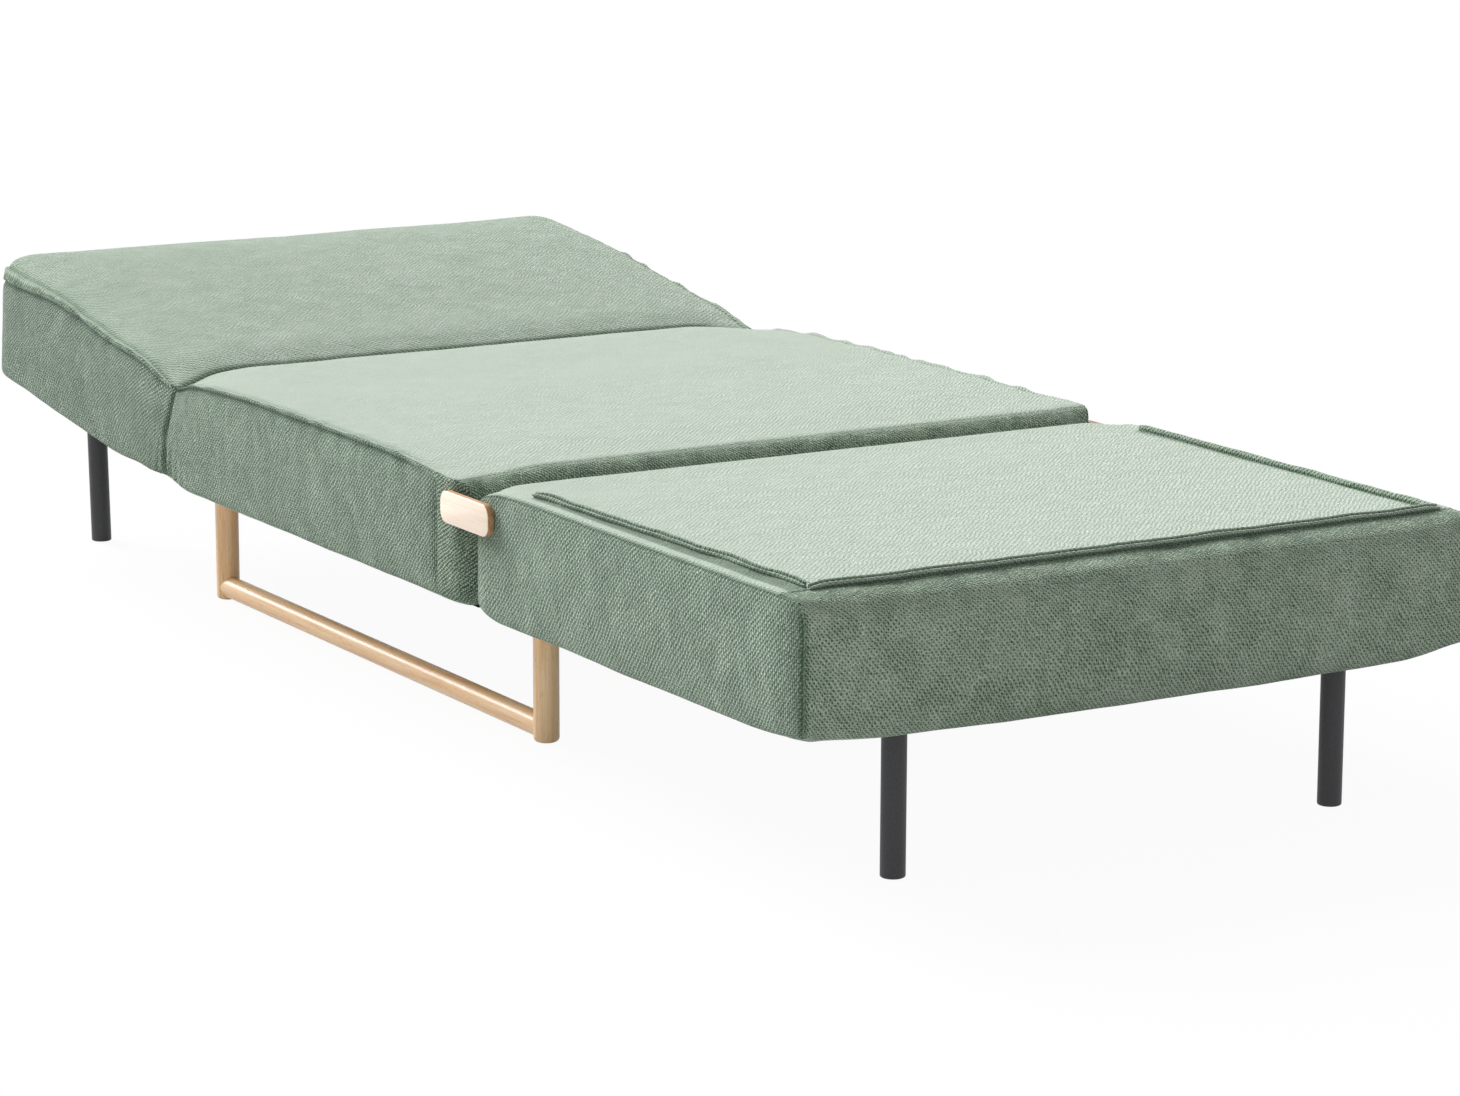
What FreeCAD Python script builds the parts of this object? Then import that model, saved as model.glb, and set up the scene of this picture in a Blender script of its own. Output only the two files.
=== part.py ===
import FreeCAD, Part
import math
import os

from FreeCAD import Vector

# Convertible chair bed, shown opened out flat as a bed, in millimetres.
# X runs across the bed, Y along it from the foot end to the head end, and Z up from the floor.
# The model is drawn with Y zero at the seam between the fold-out section and the seat,
# and each solid is moved at the end so that the origin lies under the middle of the bed.

# Driving sizes of the three sections
bed_width = 804.0
seat_top_z = 300.0
section_thickness = 143.0
seat_length = 778.0
fold_out_length = 654.0
fold_out_drop = 6.0
back_length = 520.0
back_tilt = 7.0
recline_travel = 70.0
side_corner_radius = 25.0
seam_corner_radius = 50.0
front_roll_radius = 30.0
cover_thickness = 2.0

# Heights that follow from them
underside_z = seat_top_z - section_thickness
fold_out_top_z = seat_top_z - fold_out_drop
cover_inner_x = bed_width / 2 - cover_thickness
fold_y = seat_length
fold_z = seat_top_z - section_thickness / 2
fold_gap = 1.0
wedge_clearance = 0.3
relief_angle = math.radians((back_tilt + recline_travel) / 2)

# Wooden frames inside the sections
rail_thickness = 25.0
rail_height = 50.0
fold_out_rail_height = 45.0
rail_bottom_z = underside_z + cover_thickness
rail_top_z = rail_bottom_z + rail_height
frame_side_padding = 10.0
frame_outer_x = cover_inner_x - frame_side_padding
rail_inner_x = frame_outer_x - rail_thickness
rail_end_chamfer = 14.0
frame_seam_inset = seam_corner_radius + cover_thickness
frame_end_inset = side_corner_radius + cover_thickness
head_rail_thickness = 48.0
back_frame_end_inset = 43.0
slat_thickness = 12.0
slat_width = 60.0
slat_end_margin = 8.0
seat_slat_count = 6
back_slat_count = 4
deck_z = rail_top_z + slat_thickness
fold_out_middle_z = (fold_out_top_z + underside_z) / 2
fold_out_rail_bottom_z = fold_out_middle_z - fold_out_rail_height / 2
fold_out_rail_top_z = fold_out_middle_z + fold_out_rail_height / 2

# Link plates at the seam
link_pivot_z = 263.0
link_welt_room = 0.5
welt_height = 8.0
welt_thickness = 5.0
welt_side_inset = 22.0
welt_front_inset = 46.0
welt_seam_inset = 98.0
link_length = (seat_top_z - link_pivot_z) + (fold_out_top_z - link_pivot_z) + welt_height + link_welt_room
link_pivot_y = link_length / 2
nose_clearance = 0.25
nose_radius = link_pivot_y - nose_clearance
plate_thickness = 8.0
plate_height = 34.0
plate_end_margin = 15.0
plate_corner_radius = 12.0
plate_gap = 1.0
plate_inner_x = bed_width / 2 + plate_gap
pin_radius = 5.0
running_clearance = 0.05
pin_depth_in_plate = 5.0
bush_radius = 8.0
bush_stand = 0.8
bracket_thickness = 4.0
bracket_boss_radius = 14.0
bracket_end_gap = 2.0
bracket_foot_near = frame_seam_inset + rail_thickness + bracket_end_gap
bracket_foot_far = 130.0
bracket_foot_lift = 6.0
bush_inner_stand = 2.0
clip_radius = 9.0
clip_thickness = 2.0
clip_gap = 0.5
pin_end_stand = 2.5
bush_inner_x = rail_inner_x - bracket_thickness - bush_inner_stand
clip_outer_x = bush_inner_x - clip_gap
pin_inner_x = clip_outer_x - clip_thickness - pin_end_stand
pocket_clearance = 2.0

# Recline hinge at the fold
arm_thickness = 4.0
arm_gap = 0.5
arm_radius = 18.0
arm_length = 120.0
arm_foot_start = 34.0
arm_foot_lift = 10.0
hinge_pin_radius = 6.0
hinge_head_radius = 10.0
hinge_head_thickness = 3.0
ratchet_thickness = 4.0
ratchet_radius = 14.0
ratchet_teeth = 12
ratchet_tooth_depth = 2.0
housing_radius = 18.0
housing_wall = 2.5
hinge_clearance = 0.25
frame_fold_inset = 22.0
hinge_notch_radius = 21.0
seat_arm_outer_x = rail_inner_x
back_arm_outer_x = seat_arm_outer_x - arm_thickness - arm_gap
ratchet_outer_x = back_arm_outer_x - arm_thickness - hinge_clearance
housing_inner_x = ratchet_outer_x - ratchet_thickness - hinge_clearance - housing_wall

# Steel legs
leg_radius = 12.5
leg_edge_radius = 2.0
stud_radius = 5.0
stud_length = 34.0
front_leg_side_inset = 139.5
front_leg_end_inset = 59.5
head_leg_side_inset = 104.0
head_leg_end_inset = 78.5
front_leg_x = bed_width / 2 - front_leg_side_inset
front_leg_y = -fold_out_length + front_leg_end_inset
head_leg_x = bed_width / 2 - head_leg_side_inset
head_leg_lean = 2.5
socket_radius = 7.0
socket_length = 38.0
leg_block_size = 60.0

# Wooden runners under the seat
runner_side_inset = 102.0
runner_x = bed_width / 2 - runner_side_inset
front_post_y = 27.0
rear_post_reach = 54.5
rear_post_y = fold_y + rear_post_reach
post_radius = 14.0
post_edge_radius = 5.0
runner_rail_radius = 13.0
runner_rail_z = 15.0
bearer_height = 27.0
bearer_width = 40.0
bearer_end_margin = 20.0
bearer_rear_step = 6.0
tenon_radius = 10.0
tenon_length = 20.0
rail_tenon_radius = 8.0
rail_tenon_length = 10.0
cross_bar_width = 40.0
cross_bar_offset = 90.0
bolt_radius = 4.0
bolt_head_radius = 8.0
bolt_head_height = 5.0
bolt_reach = 40.0
bearer_bottom_z = underside_z - bearer_height

# Where the row's origin lies along the bed
tilt = math.radians(back_tilt)
head_end_y = fold_y + back_length * math.cos(tilt) + section_thickness / 2 * math.sin(tilt)
row_centre_y = (head_end_y - fold_out_length) / 2
head_leg_y = head_end_y - head_leg_end_inset

SIDES = (("left", 1), ("right", -1))
small = 0.01


def box(x0, x1, y0, y1, z0, z1):
    return Part.makeBox(x1 - x0, y1 - y0, z1 - z0, Vector(x0, y0, z0))


def side_box(side, near_x, far_x, y0, y1, z0, z1):
    x0 = min(side * near_x, side * far_x)
    x1 = max(side * near_x, side * far_x)
    return box(x0, x1, y0, y1, z0, z1)


def rod_x(side, near_x, far_x, y, z, radius):
    x0 = min(side * near_x, side * far_x)
    return Part.makeCylinder(radius, abs(far_x - near_x), Vector(x0, y, z), Vector(1, 0, 0))


def rod_z(x, y, z0, z1, radius):
    return Part.makeCylinder(radius, z1 - z0, Vector(x, y, z0), Vector(0, 0, 1))


def prism_x(points, x0, x1):
    wire = Part.makePolygon([Vector(x0, y, z) for y, z in points + points[:1]])
    return Part.Face(wire).extrude(Vector(x1 - x0, 0, 0))


def side_prism(side, near_x, far_x, points):
    return prism_x(points, min(side * near_x, side * far_x), max(side * near_x, side * far_x))


def plan_block(half_width, y0, y1, front_radius, rear_radius, z0, z1):
    # A block with upright edges rounded: one radius at its foot end and one at its head end.
    block = box(-half_width, half_width, y0, y1, z0, z1)
    for radius, y in ((front_radius, y0), (rear_radius, y1)):
        if radius > 0:
            edges = [e for e in block.Edges if is_upright_edge(e, y)]
            block = block.makeFillet(radius, edges)
    return block


def is_upright_edge(edge, y):
    bounds = edge.BoundBox
    upright = bounds.ZLength > 1 and bounds.XLength < small and bounds.YLength < small
    return upright and abs(bounds.YMin - y) < small


def nose_edge(pivot_y, direction, radius, top_z):
    # The arc that rounds a section's upper edge about its link pivot, from the pivot's height to the top.
    rise = top_z - link_pivot_z
    low = Vector(0, pivot_y + direction * radius, link_pivot_z)
    high = Vector(0, pivot_y + direction * math.sqrt(radius ** 2 - rise ** 2), top_z)
    angle = math.asin(rise / radius) / 2
    middle = Vector(0, pivot_y + direction * radius * math.cos(angle), link_pivot_z + radius * math.sin(angle))
    return low, middle, high


def relief_points(inset, direction, top_z):
    # The end of a section at the fold: upright below the pivot and sloped away above it.
    face_y = fold_gap / 2 + inset
    slope_y = fold_gap / 2 + inset / math.cos(relief_angle)
    corner_z = fold_z - (slope_y - face_y) / math.tan(relief_angle)
    top_y = slope_y + (top_z - fold_z) * math.tan(relief_angle)
    return (fold_y + direction * face_y, corner_z), (fold_y + direction * top_y, top_z)


def seat_profile(inset, bottom_z):
    top_z = seat_top_z - inset
    low, middle, high = nose_edge(link_pivot_y, -1, nose_radius - inset, top_z)
    corner, top = relief_points(inset, -1, top_z)
    outline = [high, Vector(0, *top), Vector(0, *corner), Vector(0, corner[0], bottom_z)]
    outline += [Vector(0, low.y, bottom_z), low]
    return profile_solid(Part.Arc(low, middle, high), outline)


def fold_out_profile(inset, bottom_z):
    top_z = fold_out_top_z - inset
    low, middle, high = nose_edge(-link_pivot_y, 1, nose_radius - inset, top_z)
    front_y = -fold_out_length + inset
    outline = [high, Vector(0, front_y, top_z), Vector(0, front_y, bottom_z), Vector(0, low.y, bottom_z), low]
    solid = profile_solid(Part.Arc(low, middle, high), outline)
    edges = [e for e in solid.Edges if is_cross_edge(e, front_y, top_z)]
    return solid.makeFillet(front_roll_radius - inset, edges)


def is_cross_edge(edge, y, z):
    bounds = edge.BoundBox
    cross = bounds.XLength > 1 and bounds.YLength < small and bounds.ZLength < small
    return cross and abs(bounds.YMin - y) < small and abs(bounds.ZMin - z) < small


def profile_solid(arc, outline):
    edges = [arc.toShape()]
    for start, end in zip(outline, outline[1:]):
        edges.append(Part.LineSegment(start, end).toShape())
    face = Part.Face(Part.Wire(edges))
    face.translate(Vector(-bed_width, 0, 0))
    return face.extrude(Vector(2 * bed_width, 0, 0))


def back_profile(inset, bottom_z):
    top_z = seat_top_z - inset
    corner, top = relief_points(inset, 1, top_z)
    head_y = fold_y + back_length - inset
    points = [(corner[0], bottom_z), corner, top, (head_y, top_z), (head_y, bottom_z)]
    return prism_x(points, -bed_width, bed_width)


def seat_block(inset, bottom_z=underside_z):
    radius = seam_corner_radius - inset
    half_width = bed_width / 2 - inset
    plan = plan_block(half_width, nose_clearance + inset, fold_y, radius, 0, bottom_z, seat_top_z)
    return plan.common(seat_profile(inset, bottom_z))


def fold_out_block(inset, bottom_z=underside_z):
    half_width = bed_width / 2 - inset
    plan = plan_block(half_width, -fold_out_length + inset, -nose_clearance - inset,
                      side_corner_radius - inset, seam_corner_radius - inset, bottom_z, fold_out_top_z)
    return plan.common(fold_out_profile(inset, bottom_z))


def back_block(inset, bottom_z=underside_z):
    half_width = bed_width / 2 - inset
    plan = plan_block(half_width, fold_y, fold_y + back_length - inset,
                      0, side_corner_radius - inset, bottom_z, seat_top_z)
    return plan.common(back_profile(inset, bottom_z))


def tilted(shape):
    # The backrest is drawn level and then raised about the fold's pivot by its resting tilt.
    copy = shape.copy()
    copy.rotate(Vector(0, fold_y, fold_z), Vector(1, 0, 0), back_tilt)
    return copy


def slats(y0, y1, count, half_width, z0):
    pitch = (y1 - y0 - slat_width) / (count - 1)
    solids = []
    for index in range(count):
        start = y0 + index * pitch
        solids.append(box(-half_width, half_width, start, start + slat_width, z0, z0 + slat_thickness))
    return Part.makeCompound(solids)


def link_pocket(direction):
    # Room in the foam for a bracket, its bush and the clip on the pin.
    near = link_pivot_y - bracket_boss_radius - pocket_clearance
    far = bracket_foot_far + pocket_clearance
    y0 = min(direction * near, direction * far)
    y1 = max(direction * near, direction * far)
    top_z = link_pivot_z + bracket_boss_radius + pocket_clearance
    solids = []
    for name, side in SIDES:
        pocket = side_box(side, pin_inner_x - pocket_clearance, rail_inner_x + 1.0, y0, y1, rail_bottom_z, top_z)
        bush = rod_x(side, rail_inner_x, bed_width, direction * link_pivot_y, link_pivot_z, bush_radius)
        solids.append(pocket.fuse(bush))
    return solids


def fold_notch():
    # Room in both foams for the recline hinge as it turns.
    inner_x = housing_inner_x - pocket_clearance
    solids = []
    for name, side in SIDES:
        outer_x = seat_arm_outer_x + hinge_head_thickness + 1.0
        solids.append(rod_x(side, inner_x, outer_x, fold_y, fold_z, hinge_notch_radius))
    return solids


def seat_link_holes(direction):
    return [rod_x(side, rail_inner_x, bed_width, direction * link_pivot_y, link_pivot_z, bush_radius)
            for name, side in SIDES]


def cut_all(shape, tools):
    for tool in tools:
        shape = shape.cut(tool)
    return shape


# Seat section
def seat_cover():
    cavity = seat_block(cover_thickness, underside_z - 1.0)
    behind = box(-cover_inner_x, cover_inner_x, fold_y / 2, fold_y + 1.0, underside_z - 1.0,
                 seat_top_z - cover_thickness)
    return cut_all(seat_block(0), [cavity, behind] + seat_link_holes(1))


def seat_foam():
    rear_y = fold_y + 1.0
    frame_room = box(-frame_outer_x, frame_outer_x, frame_seam_inset, rear_y, underside_z - 1.0, deck_z)
    foam = seat_block(cover_thickness).cut(frame_room)
    sheet = box(-bed_width, bed_width, -1.0, rear_y, underside_z - 1.0, rail_bottom_z)
    return cut_all(foam.cut(sheet), link_pocket(1) + fold_notch() + arm_slots(-1))


def arm_slots(direction):
    # Straight slots under the foams where the hinge arms rise to the pivot.
    far = fold_y + direction * (arm_length + pocket_clearance)
    y0 = min(fold_y, far)
    y1 = max(fold_y, far)
    solids = []
    for name, side in SIDES:
        inner_x = housing_inner_x - pocket_clearance
        solids.append(side_box(side, inner_x, rail_inner_x + 1.0, y0, y1, deck_z - 1.0, fold_z + arm_radius + 1.0))
    return solids


def base_sheet(block):
    sheet_room = box(-bed_width, bed_width, -bed_width, 2 * bed_width, underside_z - 1.0, rail_bottom_z)
    return block.common(sheet_room)


def seat_base_cloth():
    return cut_all(base_sheet(seat_block(cover_thickness)), bearer_bolt_holes())


def seat_side_rail(side):
    end_y = fold_y - frame_fold_inset
    rail = side_box(side, rail_inner_x, frame_outer_x, frame_seam_inset, end_y, rail_bottom_z, rail_top_z)
    return rail.cut(rail_end_relief(side, end_y, 1))


def rail_end_relief(side, end_y, direction):
    # The lower corner taken off a side rail at the fold, where the cover is drawn in under it.
    points = [(end_y, rail_bottom_z), (end_y - direction * rail_end_chamfer, rail_bottom_z),
              (end_y, rail_bottom_z + rail_end_chamfer)]
    return side_prism(side, back_arm_outer_x, frame_outer_x, points)


def seat_front_rail():
    rail = box(-rail_inner_x, rail_inner_x, frame_seam_inset, frame_seam_inset + rail_thickness,
               rail_bottom_z, rail_top_z)
    return cut_all(rail, bearer_bolt_holes())


def seat_rear_rail():
    rear_y = fold_y - frame_fold_inset
    reach = seat_arm_outer_x - arm_thickness
    rail = box(-reach, reach, rear_y - rail_thickness, rear_y, rail_bottom_z, rail_top_z)
    return cut_all(rail, bearer_bolt_holes())


def seat_slats():
    return slats(bracket_foot_far + slat_end_margin, fold_y - frame_fold_inset - arm_length, seat_slat_count,
                 frame_outer_x - slat_end_margin, rail_top_z)


# Link plates and what they turn in
def link_bracket(side, direction, foot_z):
    arm_top_z = link_pivot_z + bracket_boss_radius
    arm_bottom_z = link_pivot_z - bracket_boss_radius
    points = [(bracket_foot_near, foot_z), (bracket_foot_far, foot_z), (bracket_foot_far, arm_top_z),
              (link_pivot_y, arm_top_z), (link_pivot_y, arm_bottom_z), (bracket_foot_near, arm_bottom_z)]
    points = [(direction * y, z) for y, z in points]
    inner_x = rail_inner_x - bracket_thickness
    plate = side_prism(side, inner_x, rail_inner_x, points)
    boss = rod_x(side, inner_x, rail_inner_x, direction * link_pivot_y, link_pivot_z, bracket_boss_radius)
    hole = rod_x(side, inner_x, rail_inner_x, direction * link_pivot_y, link_pivot_z, bush_radius)
    return plate.fuse(boss).removeSplitter().cut(hole)


def link_brackets(direction, foot_z):
    return Part.makeCompound([link_bracket(side, direction, foot_z) for name, side in SIDES])


def link_bushes(direction):
    solids = []
    for name, side in SIDES:
        y = direction * link_pivot_y
        outer_x = bed_width / 2 + bush_stand
        sleeve = rod_x(side, bush_inner_x, outer_x, y, link_pivot_z, bush_radius)
        bore = rod_x(side, bush_inner_x, outer_x, y, link_pivot_z, pin_radius + running_clearance)
        solids.append(sleeve.cut(bore))
    return Part.makeCompound(solids)


def link_plate(side):
    half_length = link_pivot_y + plate_end_margin
    plate = side_box(side, plate_inner_x, plate_inner_x + plate_thickness, -half_length, half_length,
                     link_pivot_z - plate_height / 2, link_pivot_z + plate_height / 2)
    corners = [e for e in plate.Edges if e.BoundBox.XLength > plate_thickness - small]
    plate = plate.makeFillet(plate_corner_radius, corners)
    for direction in (1, -1):
        plate = plate.cut(rod_x(side, plate_inner_x, plate_inner_x + pin_depth_in_plate,
                                direction * link_pivot_y, link_pivot_z, pin_radius))
    return plate


def link_pins():
    solids = []
    for name, side in SIDES:
        for direction in (1, -1):
            solids.append(rod_x(side, pin_inner_x, plate_inner_x + pin_depth_in_plate,
                                direction * link_pivot_y, link_pivot_z, pin_radius))
    return Part.makeCompound(solids)


def link_clips():
    solids = []
    for name, side in SIDES:
        for direction in (1, -1):
            y = direction * link_pivot_y
            disc = rod_x(side, clip_outer_x - clip_thickness, clip_outer_x, y, link_pivot_z, clip_radius)
            hole = rod_x(side, clip_outer_x - clip_thickness, clip_outer_x, y, link_pivot_z, pin_radius)
            solids.append(disc.cut(hole))
    return Part.makeCompound(solids)


# Fold-out section
def fold_out_cover():
    cavity = fold_out_block(cover_thickness, underside_z - 1.0)
    return cut_all(fold_out_block(0), [cavity] + seat_link_holes(-1))


def fold_out_under_panel():
    return cut_all(base_sheet(fold_out_block(cover_thickness)), socket_holes())


def fold_out_foam(upper):
    frame_room = box(-frame_outer_x, frame_outer_x, -fold_out_length + frame_end_inset, -frame_seam_inset,
                     fold_out_rail_bottom_z, fold_out_rail_top_z)
    foam = fold_out_block(cover_thickness).cut(frame_room)
    if upper:
        half = box(-bed_width, bed_width, -bed_width, bed_width, fold_out_middle_z, seat_top_z)
        return cut_all(foam.common(half), link_pocket(-1))
    half = box(-bed_width, bed_width, -bed_width, bed_width, rail_bottom_z, fold_out_middle_z)
    return cut_all(foam.common(half), [leg_block_room(side) for name, side in SIDES])


def fold_out_side_rail(side):
    return side_box(side, rail_inner_x, frame_outer_x, -fold_out_length + frame_end_inset, -frame_seam_inset,
                    fold_out_rail_bottom_z, fold_out_rail_top_z)


def fold_out_end_rail(y0):
    return box(-rail_inner_x, rail_inner_x, y0, y0 + rail_thickness, fold_out_rail_bottom_z, fold_out_rail_top_z)


def fold_out_deck():
    front_y = -fold_out_length + frame_end_inset + rail_thickness
    rear_y = -frame_seam_inset - rail_thickness
    bottom_z = fold_out_middle_z - slat_thickness / 2
    top_z = fold_out_middle_z + slat_thickness / 2
    deck = box(-rail_inner_x, rail_inner_x, front_y, rear_y, bottom_z, top_z)
    bracket_inner_x = rail_inner_x - bracket_thickness
    notches = [side_box(side, bracket_inner_x, rail_inner_x, -bracket_foot_far, rear_y, bottom_z, top_z)
               for name, side in SIDES]
    return cut_all(deck, notches)


def leg_block_room(side):
    half = leg_block_size / 2
    x = side * front_leg_x
    return box(x - half, x + half, front_leg_y - half, front_leg_y + half, rail_bottom_z, fold_out_rail_bottom_z)


def socket_holes():
    return [rod_z(side * front_leg_x, front_leg_y, underside_z - 1.0, rail_bottom_z + socket_length, socket_radius)
            for name, side in SIDES]


def fold_out_leg_blocks():
    return Part.makeCompound([cut_all(leg_block_room(side), socket_holes()) for name, side in SIDES])


def fold_out_leg_sockets():
    solids = []
    for name, side in SIDES:
        x = side * front_leg_x
        sleeve = rod_z(x, front_leg_y, underside_z, rail_bottom_z + socket_length, socket_radius)
        bore = rod_z(x, front_leg_y, underside_z, rail_bottom_z + socket_length, stud_radius + running_clearance)
        solids.append(sleeve.cut(bore))
    return Part.makeCompound(solids)


def fold_out_welt():
    outer_x = bed_width / 2 - welt_side_inset + welt_thickness / 2
    front_y = -fold_out_length + welt_front_inset - welt_thickness / 2
    outer = box(-outer_x, outer_x, front_y, -welt_seam_inset, fold_out_top_z, fold_out_top_z + welt_height)
    inner = box(-outer_x + welt_thickness, outer_x - welt_thickness, front_y + welt_thickness, 0,
                fold_out_top_z - 1.0, fold_out_top_z + welt_height + 1.0)
    return outer.cut(inner)


# Backrest, drawn level
def back_cover():
    cavity = back_block(cover_thickness, underside_z - 1.0)
    ahead = box(-cover_inner_x, cover_inner_x, fold_y - 1.0, fold_y + back_length / 2, underside_z - 1.0,
                seat_top_z - cover_thickness)
    return cut_all(back_block(0), [cavity, ahead])


def back_foam():
    head_y = fold_y + back_length - back_frame_end_inset
    frame_room = box(-frame_outer_x, frame_outer_x, fold_y - 1.0, head_y, underside_z - 1.0, deck_z)
    foam = back_block(cover_thickness).cut(frame_room)
    sheet = box(-bed_width, bed_width, fold_y - 1.0, fold_y + back_length + 1.0, underside_z - 1.0, rail_bottom_z)
    return cut_all(foam, [sheet] + fold_notch() + arm_slots(1))


def back_side_rail(side):
    start_y = fold_y + frame_fold_inset
    rail = side_box(side, back_arm_outer_x, frame_outer_x, start_y, fold_y + back_length - back_frame_end_inset,
                    rail_bottom_z, rail_top_z)
    return rail.cut(rail_end_relief(side, start_y, -1))


def back_head_rail():
    end_y = fold_y + back_length - back_frame_end_inset
    return box(-back_arm_outer_x, back_arm_outer_x, end_y - head_rail_thickness, end_y, rail_bottom_z, rail_top_z)


def back_fold_rail():
    start_y = fold_y + frame_fold_inset
    reach = back_arm_outer_x - arm_thickness
    return box(-reach, reach, start_y, start_y + rail_thickness, rail_bottom_z, rail_top_z)


def back_slats():
    end_y = fold_y + back_length - back_frame_end_inset
    return slats(fold_y + arm_length + slat_end_margin, end_y - slat_end_margin, back_slat_count,
                 frame_outer_x - slat_end_margin, rail_top_z)


# Soft wedge that closes the fold above the recline hinge
def fold_wedge():
    low_z = fold_z + hinge_notch_radius + 1.0
    high_z = seat_top_z - cover_thickness
    foam_offset = fold_gap / 2 * math.cos(relief_angle) + cover_thickness
    back_angle = relief_angle - tilt
    seat_offset = foam_offset / math.cos(relief_angle)
    back_offset = (foam_offset - wedge_clearance) / math.cos(back_angle)
    points = []
    for z in (low_z, high_z):
        points.append((fold_y - seat_offset - (z - fold_z) * math.tan(relief_angle), z))
    for z in (high_z, low_z):
        points.append((fold_y + back_offset + (z - fold_z) * math.tan(back_angle), z))
    return prism_x(points, -cover_inner_x, cover_inner_x)


# Recline hinge
def hinge_arm(side, outer_x, direction):
    points = [(0, -arm_radius), (0, arm_radius), (direction * arm_length, rail_top_z - fold_z + slat_thickness),
              (direction * arm_length, rail_bottom_z + arm_foot_lift - fold_z),
              (direction * arm_foot_start, rail_bottom_z + arm_foot_lift - fold_z)]
    points = [(fold_y + y, fold_z + z) for y, z in points]
    plate = side_prism(side, outer_x - arm_thickness, outer_x, points)
    boss = rod_x(side, outer_x - arm_thickness, outer_x, fold_y, fold_z, arm_radius)
    radius = hinge_pin_radius if direction < 0 else hinge_pin_radius + running_clearance
    hole = rod_x(side, outer_x - arm_thickness, outer_x, fold_y, fold_z, radius)
    return plate.fuse(boss).removeSplitter().cut(hole)


def recline_pins():
    solids = []
    for name, side in SIDES:
        inner_x = ratchet_outer_x - ratchet_thickness
        shank = rod_x(side, inner_x, seat_arm_outer_x, fold_y, fold_z, hinge_pin_radius)
        head = rod_x(side, seat_arm_outer_x, seat_arm_outer_x + hinge_head_thickness, fold_y, fold_z,
                     hinge_head_radius)
        solids.append(shank.fuse(head).removeSplitter())
    return Part.makeCompound(solids)


def ratchet_disc(side):
    inner_x = ratchet_outer_x - ratchet_thickness
    disc = rod_x(side, inner_x, ratchet_outer_x, fold_y, fold_z, ratchet_radius)
    disc = disc.cut(rod_x(side, inner_x, ratchet_outer_x, fold_y, fold_z, hinge_pin_radius))
    for index in range(ratchet_teeth):
        angle = 2 * math.pi * index / ratchet_teeth
        y = fold_y + ratchet_radius * math.cos(angle)
        z = fold_z + ratchet_radius * math.sin(angle)
        disc = disc.cut(rod_x(side, inner_x, ratchet_outer_x, y, z, ratchet_tooth_depth))
    return disc


def ratchet_housing(side):
    back_arm_inner_x = back_arm_outer_x - arm_thickness
    cup = rod_x(side, housing_inner_x, back_arm_inner_x, fold_y, fold_z, housing_radius)
    room = rod_x(side, housing_inner_x + housing_wall, back_arm_inner_x, fold_y, fold_z,
                 housing_radius - housing_wall)
    return cup.cut(room)


# Legs
def front_leg(side):
    x = side * front_leg_x
    bar = rod_z(x, front_leg_y, 0, underside_z, leg_radius)
    bar = round_bottom_edge(bar, leg_edge_radius)
    return bar.fuse(rod_z(x, front_leg_y, underside_z, underside_z + stud_length, stud_radius)).removeSplitter()


def round_bottom_edge(shape, radius):
    edges = [e for e in shape.Edges if e.BoundBox.ZMax < small and e.BoundBox.XLength > 1]
    return shape.makeFillet(radius, edges)


def leg_axis_rod(side, low, high, radius):
    # A rod along the head leg's leaning axis, between two distances from where the axis meets the floor.
    lean = math.radians(head_leg_lean)
    axis = Vector(0, math.sin(lean), math.cos(lean))
    foot = Vector(side * head_leg_x, head_leg_y, 0)
    return Part.makeCylinder(radius, high - low, foot + axis * low, axis)


def above_back_underside():
    return tilted(box(-bed_width, bed_width, fold_y, fold_y + 2 * back_length, underside_z, 2 * seat_top_z))


def head_leg(side):
    bar = leg_axis_rod(side, -leg_radius, seat_top_z, leg_radius).cut(above_back_underside())
    below_floor = box(-bed_width, bed_width, fold_y, 2 * bed_width, -bed_width, 0)
    bar = round_bottom_edge(bar.cut(below_floor), leg_edge_radius)
    inner = leg_axis_rod(side, leg_radius, stud_end_distance(), stud_radius)
    return bar.fuse(inner).removeSplitter()


def stud_end_distance():
    # How far along its axis from the floor the head leg's stud ends, inside the head rail.
    rise = (head_leg_y - fold_y) * math.tan(tilt)
    return fold_z - section_thickness / 2 / math.cos(tilt) + rise + stud_length


def head_stud_holes():
    return [leg_axis_rod(side, leg_radius, stud_end_distance(), stud_radius) for name, side in SIDES]


# Runners
def post(side, y):
    x = side * runner_x
    bar = round_bottom_edge(rod_z(x, y, 0, bearer_bottom_z, post_radius), post_edge_radius)
    bar = bar.fuse(rod_z(x, y, bearer_bottom_z, bearer_bottom_z + tenon_length, tenon_radius)).removeSplitter()
    return bar.cut(runner_rail(side))


def runner_rail(side):
    x = side * runner_x
    length = rear_post_y - front_post_y
    rail = Part.makeCylinder(runner_rail_radius, length, Vector(x, front_post_y, runner_rail_z), Vector(0, 1, 0))
    for y in (front_post_y, rear_post_y):
        rail = rail.cut(rod_z(x, y, -1.0, bearer_bottom_z, post_radius))
    tenon_start = front_post_y + post_radius - rail_tenon_length
    tenon_end = rear_post_y - post_radius + rail_tenon_length
    tenon = Part.makeCylinder(rail_tenon_radius, tenon_end - tenon_start,
                              Vector(x, tenon_start, runner_rail_z), Vector(0, 1, 0))
    return rail.fuse(tenon).removeSplitter()


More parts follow.
